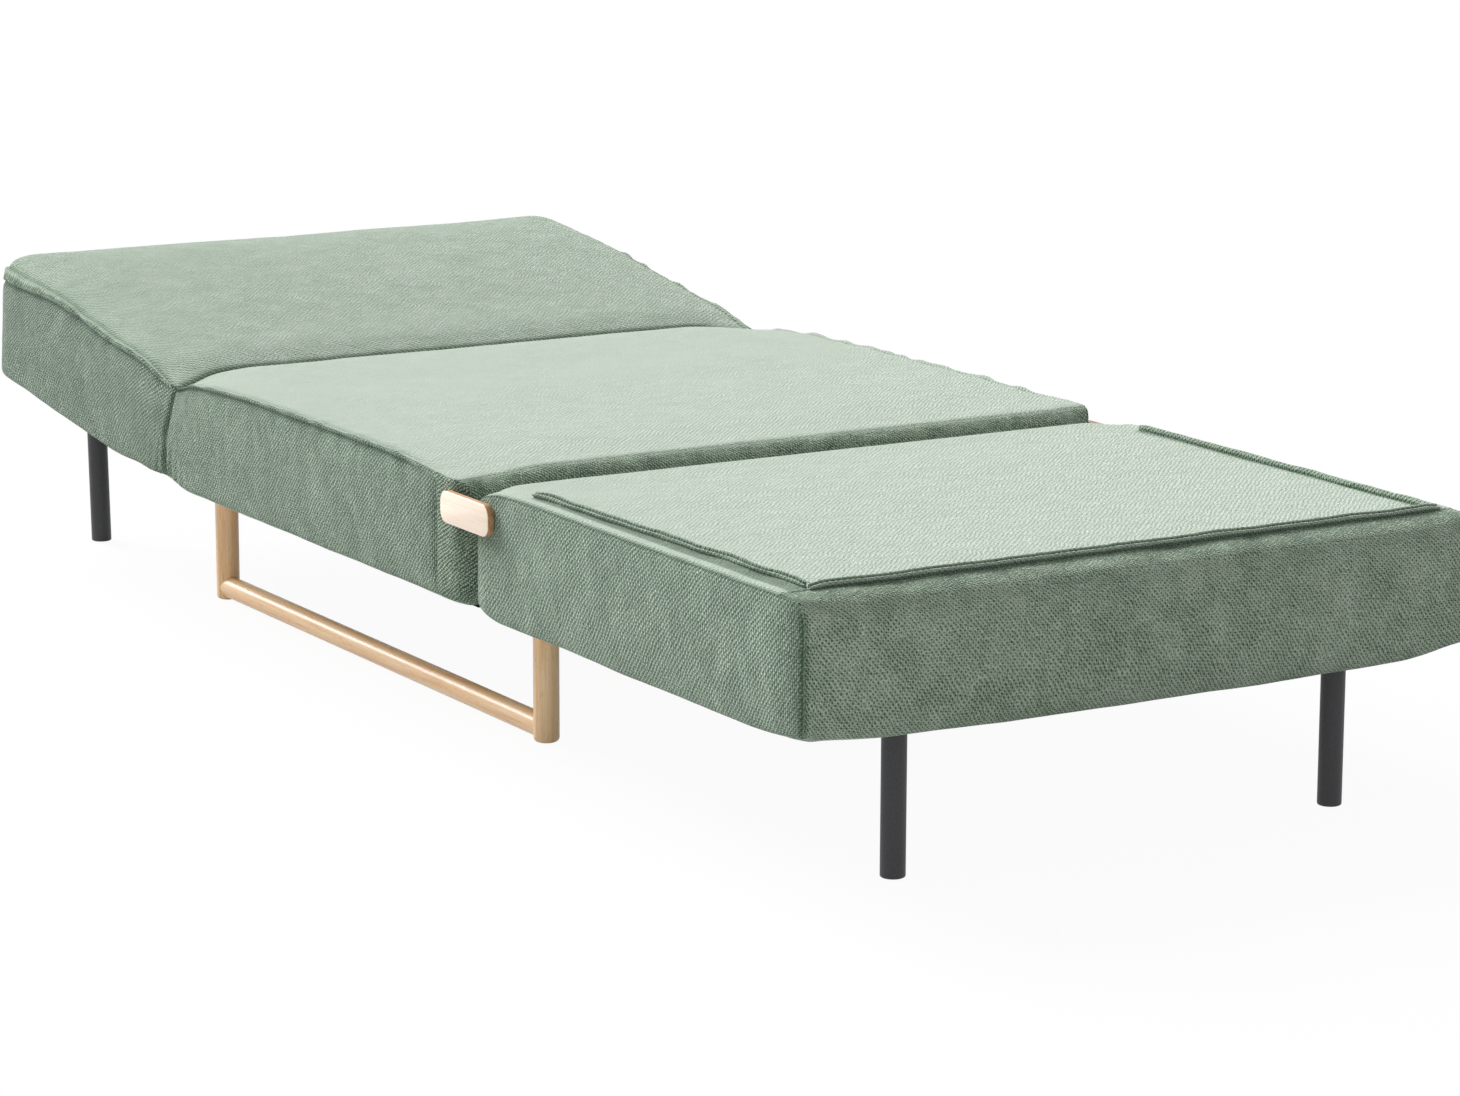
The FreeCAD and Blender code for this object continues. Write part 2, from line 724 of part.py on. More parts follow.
def bearer(side):
    start_y = front_post_y - bearer_end_margin
    end_y = rear_post_y + bearer_end_margin
    step_y = fold_y - bearer_end_margin
    points = [(start_y, bearer_bottom_z), (end_y, bearer_bottom_z), (end_y, underside_z - bearer_rear_step),
              (fold_y, underside_z - bearer_rear_step), (step_y, underside_z), (start_y, underside_z)]
    x = side * runner_x
    bar = prism_x(points, x - bearer_width / 2, x + bearer_width / 2)
    for y in (front_post_y, rear_post_y):
        bar = bar.cut(rod_z(x, y, bearer_bottom_z, bearer_bottom_z + tenon_length, tenon_radius))
    return cut_all(bar, bearer_bolt_holes())


def cross_bar(y):
    reach = runner_x - bearer_width / 2
    return box(-reach, reach, y - cross_bar_width / 2, y + cross_bar_width / 2, bearer_bottom_z, underside_z)


def bolt_places():
    front_y = frame_seam_inset + rail_thickness / 2
    rear_y = fold_y - frame_fold_inset - rail_thickness / 2
    return [(side * runner_x, y) for name, side in SIDES for y in (front_y, rear_y)]


def bearer_bolt_holes():
    return [rod_z(x, y, bearer_bottom_z - 1.0, underside_z + bolt_reach, bolt_radius) for x, y in bolt_places()]


def bearer_bolts():
    solids = []
    for x, y in bolt_places():
        shank = rod_z(x, y, bearer_bottom_z, underside_z + bolt_reach, bolt_radius)
        head = rod_z(x, y, bearer_bottom_z - bolt_head_height, bearer_bottom_z, bolt_head_radius)
        solids.append(shank.fuse(head).removeSplitter())
    return Part.makeCompound(solids)


def save(name, shape):
    placed = shape.copy()
    placed.translate(Vector(0, -row_centre_y, 0))
    placed.exportStep("parts/" + name + ".step")


def main():
    os.makedirs("parts", exist_ok=True)
    save("seat_cover", seat_cover())
    save("seat_foam", seat_foam())
    save("seat_base_cloth", seat_base_cloth())
    save("seat_front_rail", seat_front_rail())
    save("seat_rear_rail", seat_rear_rail())
    save("seat_slats", seat_slats())
    save("seat_link_brackets", link_brackets(1, rail_bottom_z + bracket_foot_lift))
    save("seat_link_bushes", link_bushes(1))
    save("fold_wedge_foam", fold_wedge())

    save("fold_out_cover", fold_out_cover())
    save("fold_out_under_panel", fold_out_under_panel())
    save("fold_out_top_foam", fold_out_foam(True))
    save("fold_out_under_foam", fold_out_foam(False))
    save("fold_out_front_rail", fold_out_end_rail(-fold_out_length + frame_end_inset))
    save("fold_out_rear_rail", fold_out_end_rail(-frame_seam_inset - rail_thickness))
    save("fold_out_deck", fold_out_deck())
    save("fold_out_welt", fold_out_welt())
    save("fold_out_link_brackets", link_brackets(-1, fold_out_rail_bottom_z + bracket_foot_lift))
    save("fold_out_link_bushes", link_bushes(-1))
    save("fold_out_leg_blocks", fold_out_leg_blocks())
    save("fold_out_leg_sockets", fold_out_leg_sockets())

    save("back_cover", tilted(back_cover()))
    save("back_foam", tilted(back_foam()))
    save("back_rear_panel", cut_all(tilted(base_sheet(back_block(cover_thickness))), head_stud_holes()))
    save("back_head_rail", cut_all(tilted(back_head_rail()), head_stud_holes()))
    save("back_fold_rail", tilted(back_fold_rail()))
    save("back_slats", tilted(back_slats()))

    save("link_pins", link_pins())
    save("link_clips", link_clips())
    save("recline_pins", recline_pins())
    save("recline_ratchet_discs", Part.makeCompound([ratchet_disc(side) for name, side in SIDES]))
    save("recline_housings", Part.makeCompound([ratchet_housing(side) for name, side in SIDES]))
    save("bearer_bolts", bearer_bolts())
    save("front_cross_bar", cross_bar(front_post_y + cross_bar_offset))
    save("rear_cross_bar", cross_bar(fold_y - cross_bar_offset))

    for name, side in SIDES:
        save("seat_side_rail_" + name, seat_side_rail(side))
        save("fold_out_side_rail_" + name, fold_out_side_rail(side))
        save("back_side_rail_" + name, tilted(back_side_rail(side)))
        save("link_plate_" + name, link_plate(side))
        save("recline_seat_arm_" + name, hinge_arm(side, seat_arm_outer_x, -1))
        save("recline_back_arm_" + name, tilted(hinge_arm(side, back_arm_outer_x, 1)))
        save("front_leg_" + name, front_leg(side))
        save("head_leg_" + name, head_leg(side))
        save("front_post_" + name, post(side, front_post_y))
        save("rear_post_" + name, post(side, rear_post_y))
        save("runner_rail_" + name, runner_rail(side))
        save("bearer_" + name, bearer(side))


main()
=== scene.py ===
# %% [markdown]
# A convertible chair bed, opened out flat. Three upholstered sections lie in a row: a short one that
# folds out over the foot end, the seat, and a backrest that tilts up a little. The engineering parts
# are loaded first and stay where they are. Everything soft, and every part that shows, is then
# modelled round them at its real size, in metres.

# %% load the engineering model
import math
from functools import partial

import bpy
import numpy as np
from mathutils import Matrix, Vector, noise


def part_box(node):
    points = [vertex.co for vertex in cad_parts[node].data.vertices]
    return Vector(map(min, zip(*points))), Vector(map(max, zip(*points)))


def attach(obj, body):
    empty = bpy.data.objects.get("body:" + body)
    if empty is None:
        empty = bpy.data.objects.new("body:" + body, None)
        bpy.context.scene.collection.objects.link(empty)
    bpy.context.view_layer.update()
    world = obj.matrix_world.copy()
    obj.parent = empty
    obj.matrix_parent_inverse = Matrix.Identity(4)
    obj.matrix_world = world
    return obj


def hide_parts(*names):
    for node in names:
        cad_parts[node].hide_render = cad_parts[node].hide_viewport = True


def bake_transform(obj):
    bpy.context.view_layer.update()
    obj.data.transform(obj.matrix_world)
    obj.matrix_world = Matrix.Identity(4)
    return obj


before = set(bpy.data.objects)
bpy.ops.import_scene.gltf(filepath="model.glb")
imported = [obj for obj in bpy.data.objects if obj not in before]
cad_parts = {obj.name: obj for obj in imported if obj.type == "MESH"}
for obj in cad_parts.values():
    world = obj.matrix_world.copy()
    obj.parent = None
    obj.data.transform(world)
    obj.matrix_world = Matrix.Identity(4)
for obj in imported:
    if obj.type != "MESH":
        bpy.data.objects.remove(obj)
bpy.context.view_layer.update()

# %% [markdown]
# The camera comes first, because every later choice is judged through it. The photograph was taken
# with a long lens from in front of the foot end, a little to the right and above the top. Its
# direction is given by two angles and a slight roll, and its distance by how the parallel edges
# of the bed draw together.

# %% camera
camera_turn = math.radians(-30.83567)
camera_height_angle = math.radians(11.99006)
camera_roll = math.radians(0.19376)
camera_target = Vector((-0.107, -0.353519, 0.2))
camera_distance = 4.8894
focal_pixels = 4587.0652
image_width_pixels = 1460
sensor_width_mm = 36


def camera_rotation():
    """The camera looks along minus its third axis."""
    back = Vector((math.sin(camera_turn) * math.cos(camera_height_angle),
                   -math.cos(camera_turn) * math.cos(camera_height_angle),
                   math.sin(camera_height_angle)))
    right = Vector((0, 0, 1)).cross(back).normalized()
    up = back.cross(right)
    cos_roll, sin_roll = math.cos(camera_roll), math.sin(camera_roll)
    return Matrix((cos_roll * right + sin_roll * up, cos_roll * up - sin_roll * right, back)).transposed()


camera_data = bpy.data.cameras.new("camera")
camera = bpy.data.objects.new("camera", camera_data)
bpy.context.scene.collection.objects.link(camera)
camera_axes = camera_rotation()
camera_place = camera_target + camera_axes.col[2] * camera_distance
camera.matrix_world = Matrix.Translation(camera_place) @ camera_axes.to_4x4()
camera_data.sensor_width = sensor_width_mm
camera_data.lens = focal_pixels / image_width_pixels * sensor_width_mm
bpy.context.scene.camera = camera
print("camera lens", round(camera_data.lens, 1), "mm at", [round(value, 2) for value in camera_place])

# %% [markdown]
# The sizes below are read from the engineering parts, so the soft parts fit them by themselves.
# The seam is the plane where the fold-out section, or flap, meets the seat. The fold is the hinge
# line between seat and backrest, half way up the section, and the backrest rests 7 degrees up.

# %% sizes taken from the engineering parts
seat_low, seat_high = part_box("seat_cover")
fold_out_low, fold_out_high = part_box("fold_out_cover")
half_width = seat_high.x
seam_y, fold_y = seat_low.y, seat_high.y
top_z, underside_z = seat_high.z, seat_low.z
flap_top_z, flap_end_y = fold_out_high.z, fold_out_low.y
fold_z = (top_z + underside_z) / 2
link_pivot_z = 0.263
link_nose_radius = 0.0375
back_tilt = math.radians(7)
back_length = 0.528
print("seat is", round(fold_y - seam_y, 3), "long and", round(top_z - underside_z, 3), "thick")

# %% [markdown]
# Materials are built from nodes. One function turns the usual hex colour into the linear values
# that the renderer works in, and one adds a node, sets its sockets and links them. Each material
# below starts from what the real one is and how its surface was made.

# %% helpers for materials


def linear(hex_colour, alpha=1.0):
    """An sRGB colour such as "#8FA58F" as linear values."""
    values = [int(hex_colour[i:i + 2], 16) / 255 for i in (1, 3, 5)]
    return [v / 12.92 if v <= 0.04045 else ((v + 0.055) / 1.055) ** 2.4 for v in values] + [alpha]


def add_node(material, kind, settings=None, **inputs):
    """Adds one node. An input is a value, or a socket of another node that is linked to it."""
    tree = material.node_tree
    node = tree.nodes.new(kind)
    for name, value in (settings or {}).items():
        setattr(node, name, value)
    for name, value in inputs.items():
        key = int(name[1:]) if name[0] == "i" and name[1:].isdigit() else name.replace("_", " ")
        if isinstance(value, bpy.types.NodeSocket):
            tree.links.new(value, node.inputs[key])
        else:
            node.inputs[key].default_value = value
    return node


def new_material(name, roughness, **settings):
    """A material with one shader, and the shader itself."""
    material = bpy.data.materials.new(name)
    material.use_nodes = True
    shader = material.node_tree.nodes["Principled BSDF"]
    shader.inputs["Roughness"].default_value = roughness
    for socket, value in settings.items():
        shader.inputs[socket.replace("_", " ")].default_value = value
    return material, shader


def connect(material, source, shader, socket):
    material.node_tree.links.new(source, shader.inputs[socket])


def colour_steps(material, factor, *steps):
    """A colour ramp of (position, hex colour) steps."""
    ramp = add_node(material, "ShaderNodeValToRGB", i0=factor)
    elements = ramp.color_ramp.elements
    while len(elements) < len(steps):
        elements.new(0.5)
    for element, (position, colour) in zip(elements, steps):
        element.position = position
        element.color = linear(colour)
    return ramp.outputs["Color"]


def maths(material, operation, a, b=0.0, clamp=False):
    settings = {"operation": operation, "use_clamp": clamp}
    return add_node(material, "ShaderNodeMath", settings, i0=a, i1=b).outputs[0]


# %% [markdown]
# The upholstery is a chunky chenille weave: soft thick yarn woven over and under in a slanting
# lattice, so the eye sees small dark pits between light, fuzzy yarn crowns. Two sine waves across
# each other give the lattice, at 4.4 mm a yarn pair. Noise at the yarn's own length breaks it into
# flecks, and a slow noise gives the mottled look of pile that lies both ways. Sheen brightens it at
# low angles, as fibres do. Two values kept at each point of a cushion steer the rest, and both are
# painted shade: one darkens the stitched grooves, the fold crease and the top beside the flange,
# where shade falls, and the other darkens each panel by how far it turns from the light, and makes
# its pattern stronger.

# %% chenille upholstery
yarn_pitch_mm = 4.4
border_pitch_mm = 3.9
fleck_length_mm = 3.2
pile_patch_mm = 36.0
pile_patch_shape = (1.0, 1.2, 0.76)
slub_length_mm = 26.0
slubs_per_metre = 520.0
weave_amount, fleck_amount, patch_amount, slub_amount = 0.40, 0.74, 0.66, 0.24
# painted shade: how far the panel shade and the crease shade darken the cloth, and how much stronger the panel
# shade makes its pattern
pattern_on_tops, pattern_per_panel_shade = 0.22, 0.50
tone_on_tops, tone_lost_per_panel_shade, tone_lost_to_crease_shade = 0.75, 0.27, 0.50


def chenille(name, pitch_mm, sheen, contrast, *steps):
    """The weave follows the piece's own UV map, which is in metres. steps are its colours, dark to light."""
    material, shader = new_material(name, 0.93, Sheen_Weight=sheen, Sheen_Roughness=0.36,
                                    Specular_IOR_Level=0.18)
    shader.inputs["Sheen Tint"].default_value = linear("#DCE8DC")
    add, calc = partial(add_node, material), partial(maths, material)
    flat = {"noise_dimensions": "2D"}
    cloth = add("ShaderNodeUVMap", {"uv_map": "cloth"}).outputs[0]
    place = add("ShaderNodeTexCoord").outputs["Object"]
    bend = add("ShaderNodeTexNoise", flat, Vector=cloth, Scale=1000 / (pitch_mm * 5), Detail=2.0)
    offset = add("ShaderNodeVectorMath", {"operation": "SCALE"}, i0=bend.outputs["Color"],
                 Scale=pitch_mm / 1000 * 1.3)
    bent = add("ShaderNodeVectorMath", {"operation": "ADD"}, i0=cloth, i1=offset.outputs[0])
    parts = add("ShaderNodeSeparateXYZ", i0=bent.outputs[0])
    across = calc("ADD", parts.outputs[0], parts.outputs[1])
    along = calc("SUBTRACT", parts.outputs[0], parts.outputs[1])
    rate = 2 * math.pi * 1000 / pitch_mm / math.sqrt(2)
    ridge = calc("SINE", calc("MULTIPLY", across, rate))
    cross = calc("SINE", calc("MULTIPLY", along, rate))
    lattice, twill = calc("MULTIPLY", ridge, cross), calc("MULTIPLY", ridge, 0.45)
    weave = calc("ADD", calc("MULTIPLY", lattice, 0.55), twill)
    fleck = add("ShaderNodeTexNoise", flat, Vector=cloth, Scale=1000 / fleck_length_mm, Detail=2.0,
                Roughness=0.7)
    brushed = add("ShaderNodeMapping", Vector=place,
                  Scale=[1000 * part / pile_patch_mm for part in pile_patch_shape])
    patch = add("ShaderNodeTexNoise", Vector=brushed.outputs[0], Scale=1.0, Detail=6.0, Roughness=0.66,
                Distortion=0.6)
    stretch = add("ShaderNodeMapping", Vector=cloth, Scale=(1000 / slub_length_mm, slubs_per_metre, 1.0))
    slub = add("ShaderNodeTexNoise", flat, Vector=stretch.outputs[0], Scale=1.0, Detail=1.0)
    # the two painted shades kept on each point: one for the creases and grooves, one for each panel
    seam, nap = (add("ShaderNodeAttribute", {"attribute_name": kept}).outputs["Fac"]
                 for kept in ("seam", "nap"))
    change = calc("MULTIPLY", weave, weave_amount)
    for source, amount in ((fleck, fleck_amount), (patch, patch_amount), (slub, slub_amount)):
        change = calc("ADD", change, calc("MULTIPLY", calc("SUBTRACT", source.outputs[0], 0.5), amount))
    strength = calc("ADD", calc("MULTIPLY", nap, pattern_per_panel_shade * contrast), pattern_on_tops * contrast)
    tone = calc("ADD", calc("MULTIPLY", change, strength), tone_on_tops)
    # painted panel shade: panels that turn from the light are darker
    tone = calc("SUBTRACT", tone, calc("MULTIPLY", nap, tone_lost_per_panel_shade))
    # painted shade in the stitched grooves, the fold crease and beside the flange
    tone = calc("SUBTRACT", tone, calc("MULTIPLY", seam, tone_lost_to_crease_shade), clamp=True)
    connect(material, colour_steps(material, tone, *steps), shader, "Base Color")
    height = calc("ADD", weave, calc("MULTIPLY", fleck.outputs[0], 1.1))
    bump = add("ShaderNodeBump", Height=height, Strength=0.8, Distance=0.0015)
    connect(material, bump.outputs[0], shader, "Normal")
    return material


upholstery = chenille("chenille_upholstery", yarn_pitch_mm, 0.80, 1.0, (0.10, "#4A5E4D"), (0.46, "#7F947E"),
                      (0.75, "#B6C3B5"), (0.95, "#D8E1D6"))
# The border cloth is a darker copy of the same chenille, with a finer pitch and less sheen. Its darker colours
# are partly the cut across the grain and partly painted shade for the borders, which lie in shade.
border_upholstery = chenille("chenille_border", border_pitch_mm, 0.30, 1.9, (0.16, "#3E5242"),
                             (0.50, "#82967F"), (0.85, "#B9C7B6"))
print("upholstery weave pitch", yarn_pitch_mm, "mm")

# %% [markdown]
# The runners and the link plates are beech, a pale, close-grained wood with short darker flecks
# along the grain, under a clear matt lacquer. Grain is a noise stretched a long way along the
# piece. The stretch has to follow each piece, so there is one material for wood that stands and
# one for wood that lies along the bed. Steel legs are powder coated in charcoal: a fine orange
# peel, half matt. Inner parts have their own finishes too, because the cover comes off.

# %% beech, ply and softwood
grain_length_mm = 160.0
grain_width_mm = 5.0
fleck_width_mm = 1.1
fleck_stretch = 9


def wood(name, axis, pale, middle, deep, roughness=0.42):
    """Wood whose grain runs along one axis of the bed: 0, 1 or 2."""
    material, shader = new_material(name, roughness, Coat_Weight=0.25, Coat_Roughness=0.3)
    place = add_node(material, "ShaderNodeTexCoord").outputs["Object"]
    wide = [1000 / grain_width_mm] * 3
    fine = [1000 / fleck_width_mm] * 3
    wide[axis] = 1000 / grain_length_mm
    fine[axis] = 1000 / (fleck_width_mm * fleck_stretch)
    grain_space = add_node(material, "ShaderNodeMapping", Vector=place, Scale=wide)
    fleck_space = add_node(material, "ShaderNodeMapping", Vector=place, Scale=fine)
    grain = add_node(material, "ShaderNodeTexNoise", Vector=grain_space.outputs[0], Scale=1.0, Detail=4.0,
                     Distortion=0.7)
    fleck = add_node(material, "ShaderNodeTexNoise", Vector=fleck_space.outputs[0], Scale=1.0, Detail=1.0)
    dots = maths(material, "MULTIPLY", maths(material, "SUBTRACT", fleck.outputs[0], 0.6, clamp=True), 1.6)
    tone = maths(material, "SUBTRACT", grain.outputs[0], dots, clamp=True)
    colour = colour_steps(material, tone, (0.2, deep), (0.47, middle), (0.72, pale))
    connect(material, colour, shader, "Base Color")
    bump = add_node(material, "ShaderNodeBump", Height=tone, Strength=0.12, Distance=0.0006)
    connect(material, bump.outputs[0], shader, "Normal")
    return material


beech_upright = wood("lacquered_beech_upright", 2, "#FDE0BA", "#F4CA98", "#DDA771")
beech_lengthwise = wood("lacquered_beech_lengthwise", 1, "#FDE0BA", "#F4CA98", "#DDA771")
# The plates are the same beech as the runners. The face's near-white colour is a painted highlight for a face
# that the light washes out, and the edge's brown is partly end grain and partly painted shade.
plate_face_painted_highlight = wood("limed_beech_plate", 1, "#F6E6D7", "#F3DFCD", "#EDD5C0", 0.55)
plate_edge_grain_and_shade = wood("beech_plate_edge_grain_and_shade", 1, "#C99E76", "#B08259", "#86582F", 0.6)
pine_lengthwise = wood("pine_frame_lengthwise", 1, "#E9CB98", "#D9B27A", "#B98A4E", 0.65)
pine_crosswise = wood("pine_frame_crosswise", 0, "#E9CB98", "#D9B27A", "#B98A4E", 0.65)

# %% steel, nylon, foam and base cloth


def speckled(name, dark, light, grit_mm, roughness, strength, **settings):
    """A finish with one grain size, in colour and in height."""
    material, shader = new_material(name, roughness, **settings)
    place = add_node(material, "ShaderNodeTexCoord").outputs["Object"]
    grit = add_node(material, "ShaderNodeTexNoise", Vector=place, Scale=1000 / grit_mm, Detail=3.0)
    colour = colour_steps(material, grit.outputs[0], (0.3, dark), (0.7, light))
    connect(material, colour, shader, "Base Color")
    bump = add_node(material, "ShaderNodeBump", Height=grit.outputs[0], Strength=strength,
                    Distance=grit_mm / 3000)
    connect(material, bump.outputs[0], shader, "Normal")
    return material


powder_coat = speckled("powder_coated_charcoal_steel", "#303033", "#3D3D40", 1.6, 0.5, 0.15)
zinc_steel = speckled("zinc_plated_steel", "#A9ADB0", "#C6CACC", 4.0, 0.32, 0.05, Metallic=1.0)
white_nylon = speckled("moulded_nylon", "#E2E0D8", "#EFEDE6", 3.0, 0.45, 0.05)
cushion_foam = speckled("polyether_foam", "#DCD3B4", "#EEE7CC", 1.8, 0.9, 0.6)
base_cloth = speckled("nonwoven_base_cloth", "#1F2122", "#34373A", 1.2, 0.95, 0.6)
print("made", len(bpy.data.materials), "materials")

# %% [markdown]
# Each engineering part that still shows keeps its shape and takes the finish that fits it. The
# first word of this table that is in a part's name decides, and all other parts are pine.

# %% finishes for the engineering parts
finish_by_word = (
    ("front_post rear_post", beech_upright), ("runner_rail", beech_lengthwise),
    ("front_leg head_leg", powder_coat), ("link_plate", plate_face_painted_highlight),
    ("bolts pins clips recline_ brackets sockets", zinc_steel), ("bushes", white_nylon), ("foam", cushion_foam),
    ("base_cloth", base_cloth), ("bearer side_rail", pine_lengthwise), ("cover panel welt", upholstery),
)


def finish_for(name):
    return next((finish for words, finish in finish_by_word if any(word in name for word in words.split())),
                pine_crosswise)


for node_name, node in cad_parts.items():
    node.data.materials.clear()
    node.data.materials.append(finish_for(node_name))
print("finished", len(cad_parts), "engineering parts")

# %% [markdown]
# Every cushion starts as a cube at its size and place. It is cut across into a fine even grid,
# with extra cuts beside each seam, so that a seam can be sunk later without dragging the cloth
# round it. Bisect does this exactly where a seam lies, which a plain subdivide can't.

# %% helpers for cushions


def select_only(block):
    bpy.ops.object.select_all(action="DESELECT")
    bpy.context.view_layer.objects.active = block
    block.select_set(True)


def start_block(name, low, high):
    """A cube primitive from one corner to the other."""
    bpy.ops.object.select_all(action="DESELECT")
    low, high = Vector(low), Vector(high)
    bpy.ops.mesh.primitive_cube_add(size=1, location=(low + high) / 2, scale=high - low)
    block = bpy.context.object
    block.name = name
    block.data.name = name
    bpy.ops.object.transform_apply(location=True, rotation=True, scale=True)
    return block


def cut_across(block, *places_by_axis):
    """Cuts the whole mesh at each place, first along X, then along Y, then along Z."""
    bpy.ops.object.mode_set(mode="EDIT")
    for axis, places in enumerate(places_by_axis):
        direction = [1.0 if i == axis else 0.0 for i in range(3)]
        for place in places:
            bpy.ops.mesh.select_all(action="SELECT")
            bpy.ops.mesh.bisect(plane_co=[place * part for part in direction], plane_no=direction)
    bpy.ops.object.mode_set(mode="OBJECT")


def evenly(start, end, spacing):
    """Places between start and end, without the ends, about one spacing apart."""
    count = max(1, round(abs(end - start) / spacing))
    return [start + (end - start) * i / count for i in range(1, count)]


def graded(*marks, spacing):
    """All marks, with even places between neighbours that lie further apart than one spacing."""
    places = [marks[0]]
    for a, b in zip(marks, marks[1:]):
        places += evenly(a, b, spacing) + [b]
    return places


def both_sides(places):
    """The places and their mirror images, in order."""
    return sorted({*places, *[-place for place in places if place]})


def points_of(block):
    values = np.empty(len(block.data.vertices) * 3)
    block.data.vertices.foreach_get("co", values)
    return values.reshape(-1, 3)


def set_points(block, points):
    block.data.vertices.foreach_set("co", np.asarray(points, np.float32).ravel())
    block.data.update()


def normals_of(block):
    values = np.empty(len(block.data.vertices) * 3)
    block.data.vertex_normals.foreach_get("vector", values)
    return values.reshape(-1, 3)


def round_corner(points, axes, corner, directions, radius):
    """Turns a square corner into an arc: each square ring round the arc's centre becomes a round one."""
    local = [directions[k] * (points[:, axes[k]] - corner[k]) / radius + 1 for k in (0, 1)]
    inside = (local[0] > 0) & (local[1] > 0)
    u, v = local[0][inside], local[1][inside]
    ring = np.maximum(u, v)
    angle = np.where(v <= u, v / ring * math.pi / 4, math.pi / 2 - u / ring * math.pi / 4)
    turned = (ring * np.cos(angle), ring * np.sin(angle))
    for k in (0, 1):
        points[inside, axes[k]] = corner[k] + directions[k] * radius * (turned[k] - 1)


def round_block(points, ends, top, low_end_radii, high_end_radii, side_under_radius):
    """Rounds a box between two places along Y, up to a top. The radii of an end: top, underside, corner."""
    both = ((-1, ends[0], low_end_radii), (1, ends[1], high_end_radii))
    for sign, end, (top_radius, under_radius, _) in both:
        round_corner(points, (1, 2), (end, top), (sign, 1), top_radius)
        round_corner(points, (1, 2), (end, underside_z), (sign, -1), under_radius)
    for side in (-1, 1):
        round_corner(points, (0, 2), (side * half_width, underside_z), (side, -1), side_under_radius)
        for sign, end, (_, _, corner_radius) in both:
            round_corner(points, (0, 1), (side * half_width, end), (side, sign), corner_radius)


def rise(values, start, end):
    """0 up to the start, 1 from the end on, and smoothly in between."""
    t = np.clip((values - start) / (end - start), 0, 1)
    return t * t * (3 - 2 * t)


def bump_at(values, middle, width):
    """1 at the middle, falling to 0 over about one width each way."""
    return np.exp(-((values - middle) / width) ** 2)


def near(values, place, room=0.0006):
    return np.abs(values - place) < room


def push_out(points, outward, amount):
    """Moves each point along its normal by its own amount."""
    points += outward * amount[:, None]


def keep(block, name, values):
    """Keeps one value for each point of the mesh, such as its nap, or how deep in a seam it lies."""
    attribute = block.data.attributes.new(name, "FLOAT", "POINT")
    attribute.data.foreach_set("value", np.asarray(values, np.float32))


print("cushion helpers ready")

# %% [markdown]
# Cloth has a direction, so the weave needs a map that lies flat on each panel. While the cushion
# is still a box this is easy: each face is measured in metres along its own panel, and the panels
# are unrolled over the edges so that the weave runs on without a jump. The front borders are cut
# a little off the grain, so their map is turned by a few degrees.

# %% weave map


def lay_weave(block, is_border, border_turn):
    """Adds the "cloth" UV map in metres, from the box shape."""
    mesh = block.data
    layer = mesh.uv_layers.new(name="cloth")
    low, high = points_of(block).min(0), points_of(block).max(0)
    values = np.empty((len(mesh.loops), 2))
    border_cos, border_sin = math.cos(border_turn), math.sin(border_turn)
    for face in mesh.polygons:
        normal = face.normal
        axis = max(range(3), key=lambda k: abs(normal[k]))
        turned = is_border(face.center, normal)
        for loop in face.loop_indices:
            x, y, z = mesh.vertices[mesh.loops[loop].vertex_index].co
            if axis == 2:
                u, v = x, y
            elif axis == 1:
                edge = low[1] if normal.y < 0 else high[1]
                u, v = x, edge + math.copysign(high[2] - z, normal.y)
            else:
                u, v = math.copysign(high[0] + high[2] - z, normal.x), y
            if turned:
                u, v = u * border_cos - v * border_sin, u * border_sin + v * border_cos
            values[loop] = (u, v)
    layer.data.foreach_set("uv", values.astype(np.float32).ravel())


def dress(block, is_border, border_turn):
    """The weave map and the two cloths. is_border says of a face's centre and normal which it takes."""
    lay_weave(block, is_border, border_turn)
    block.data.materials.append(upholstery)
    block.data.materials.append(border_upholstery)
    for face in block.data.polygons:
        face.material_index = 1 if is_border(face.center, face.normal) else 0


# %% [markdown]
# Padding fills a cover as far as the cloth lets it, and the seams hold it back. Blender's cloth
# does the same: pressure inside pushes every panel out while the seam points are pinned. Twenty
# steps are enough. The travel is then capped, because foam swells less than a balloon, and the
# cap differs from place to place: a lot in the open panels, nothing where the section meets
# its neighbour or lies on its bearers. Subdivision comes next, and carries along where each point
# lay on the unrounded box, because all seams are placed by those plain lengths.

# %% padding by cloth pressure
padding_frames = 20
cloth_settings = {"quality": 5, "mass": 0.4, "tension_stiffness": 25, "compression_stiffness": 25,
                  "bending_stiffness": 2.0, "use_pressure": True, "uniform_pressure_force": 4.0,
                  "vertex_group_mass": "seams"}


def pad_out(block, pinned, cap):
    """Swells the block under pressure. pinned is a yes or no for each point, cap its largest travel."""
    before = points_of(block)
    group = block.vertex_groups.new(name="seams")
    group.add(np.flatnonzero(pinned).tolist(), 1.0, "REPLACE")
    select_only(block)
    bpy.ops.object.modifier_add(type="CLOTH")
    cloth = block.modifiers[-1]
    for setting, value in cloth_settings.items():
        setattr(cloth.settings, setting, value)
    cloth.settings.effector_weights.gravity = 0
    cloth.collision_settings.use_collision = False
    cloth.point_cache.frame_start = 1
    cloth.point_cache.frame_end = padding_frames
    for step in range(1, padding_frames + 1):
        bpy.context.scene.frame_set(step)
    bpy.ops.object.modifier_apply(modifier=cloth.name)
    bpy.context.scene.frame_set(1)
    block.vertex_groups.clear()
    travel = points_of(block) - before
    length = np.maximum(np.linalg.norm(travel, axis=1), 1e-9)
    kept = np.tanh(length / np.maximum(cap, 1e-6)) * cap / length
    set_points(block, before + travel * kept[:, None])
    print(block.name, "padding travelled up to", round(float(length.max()) * 1000, 1), "mm, kept",
          round(float((length * kept).max()) * 1000, 1))


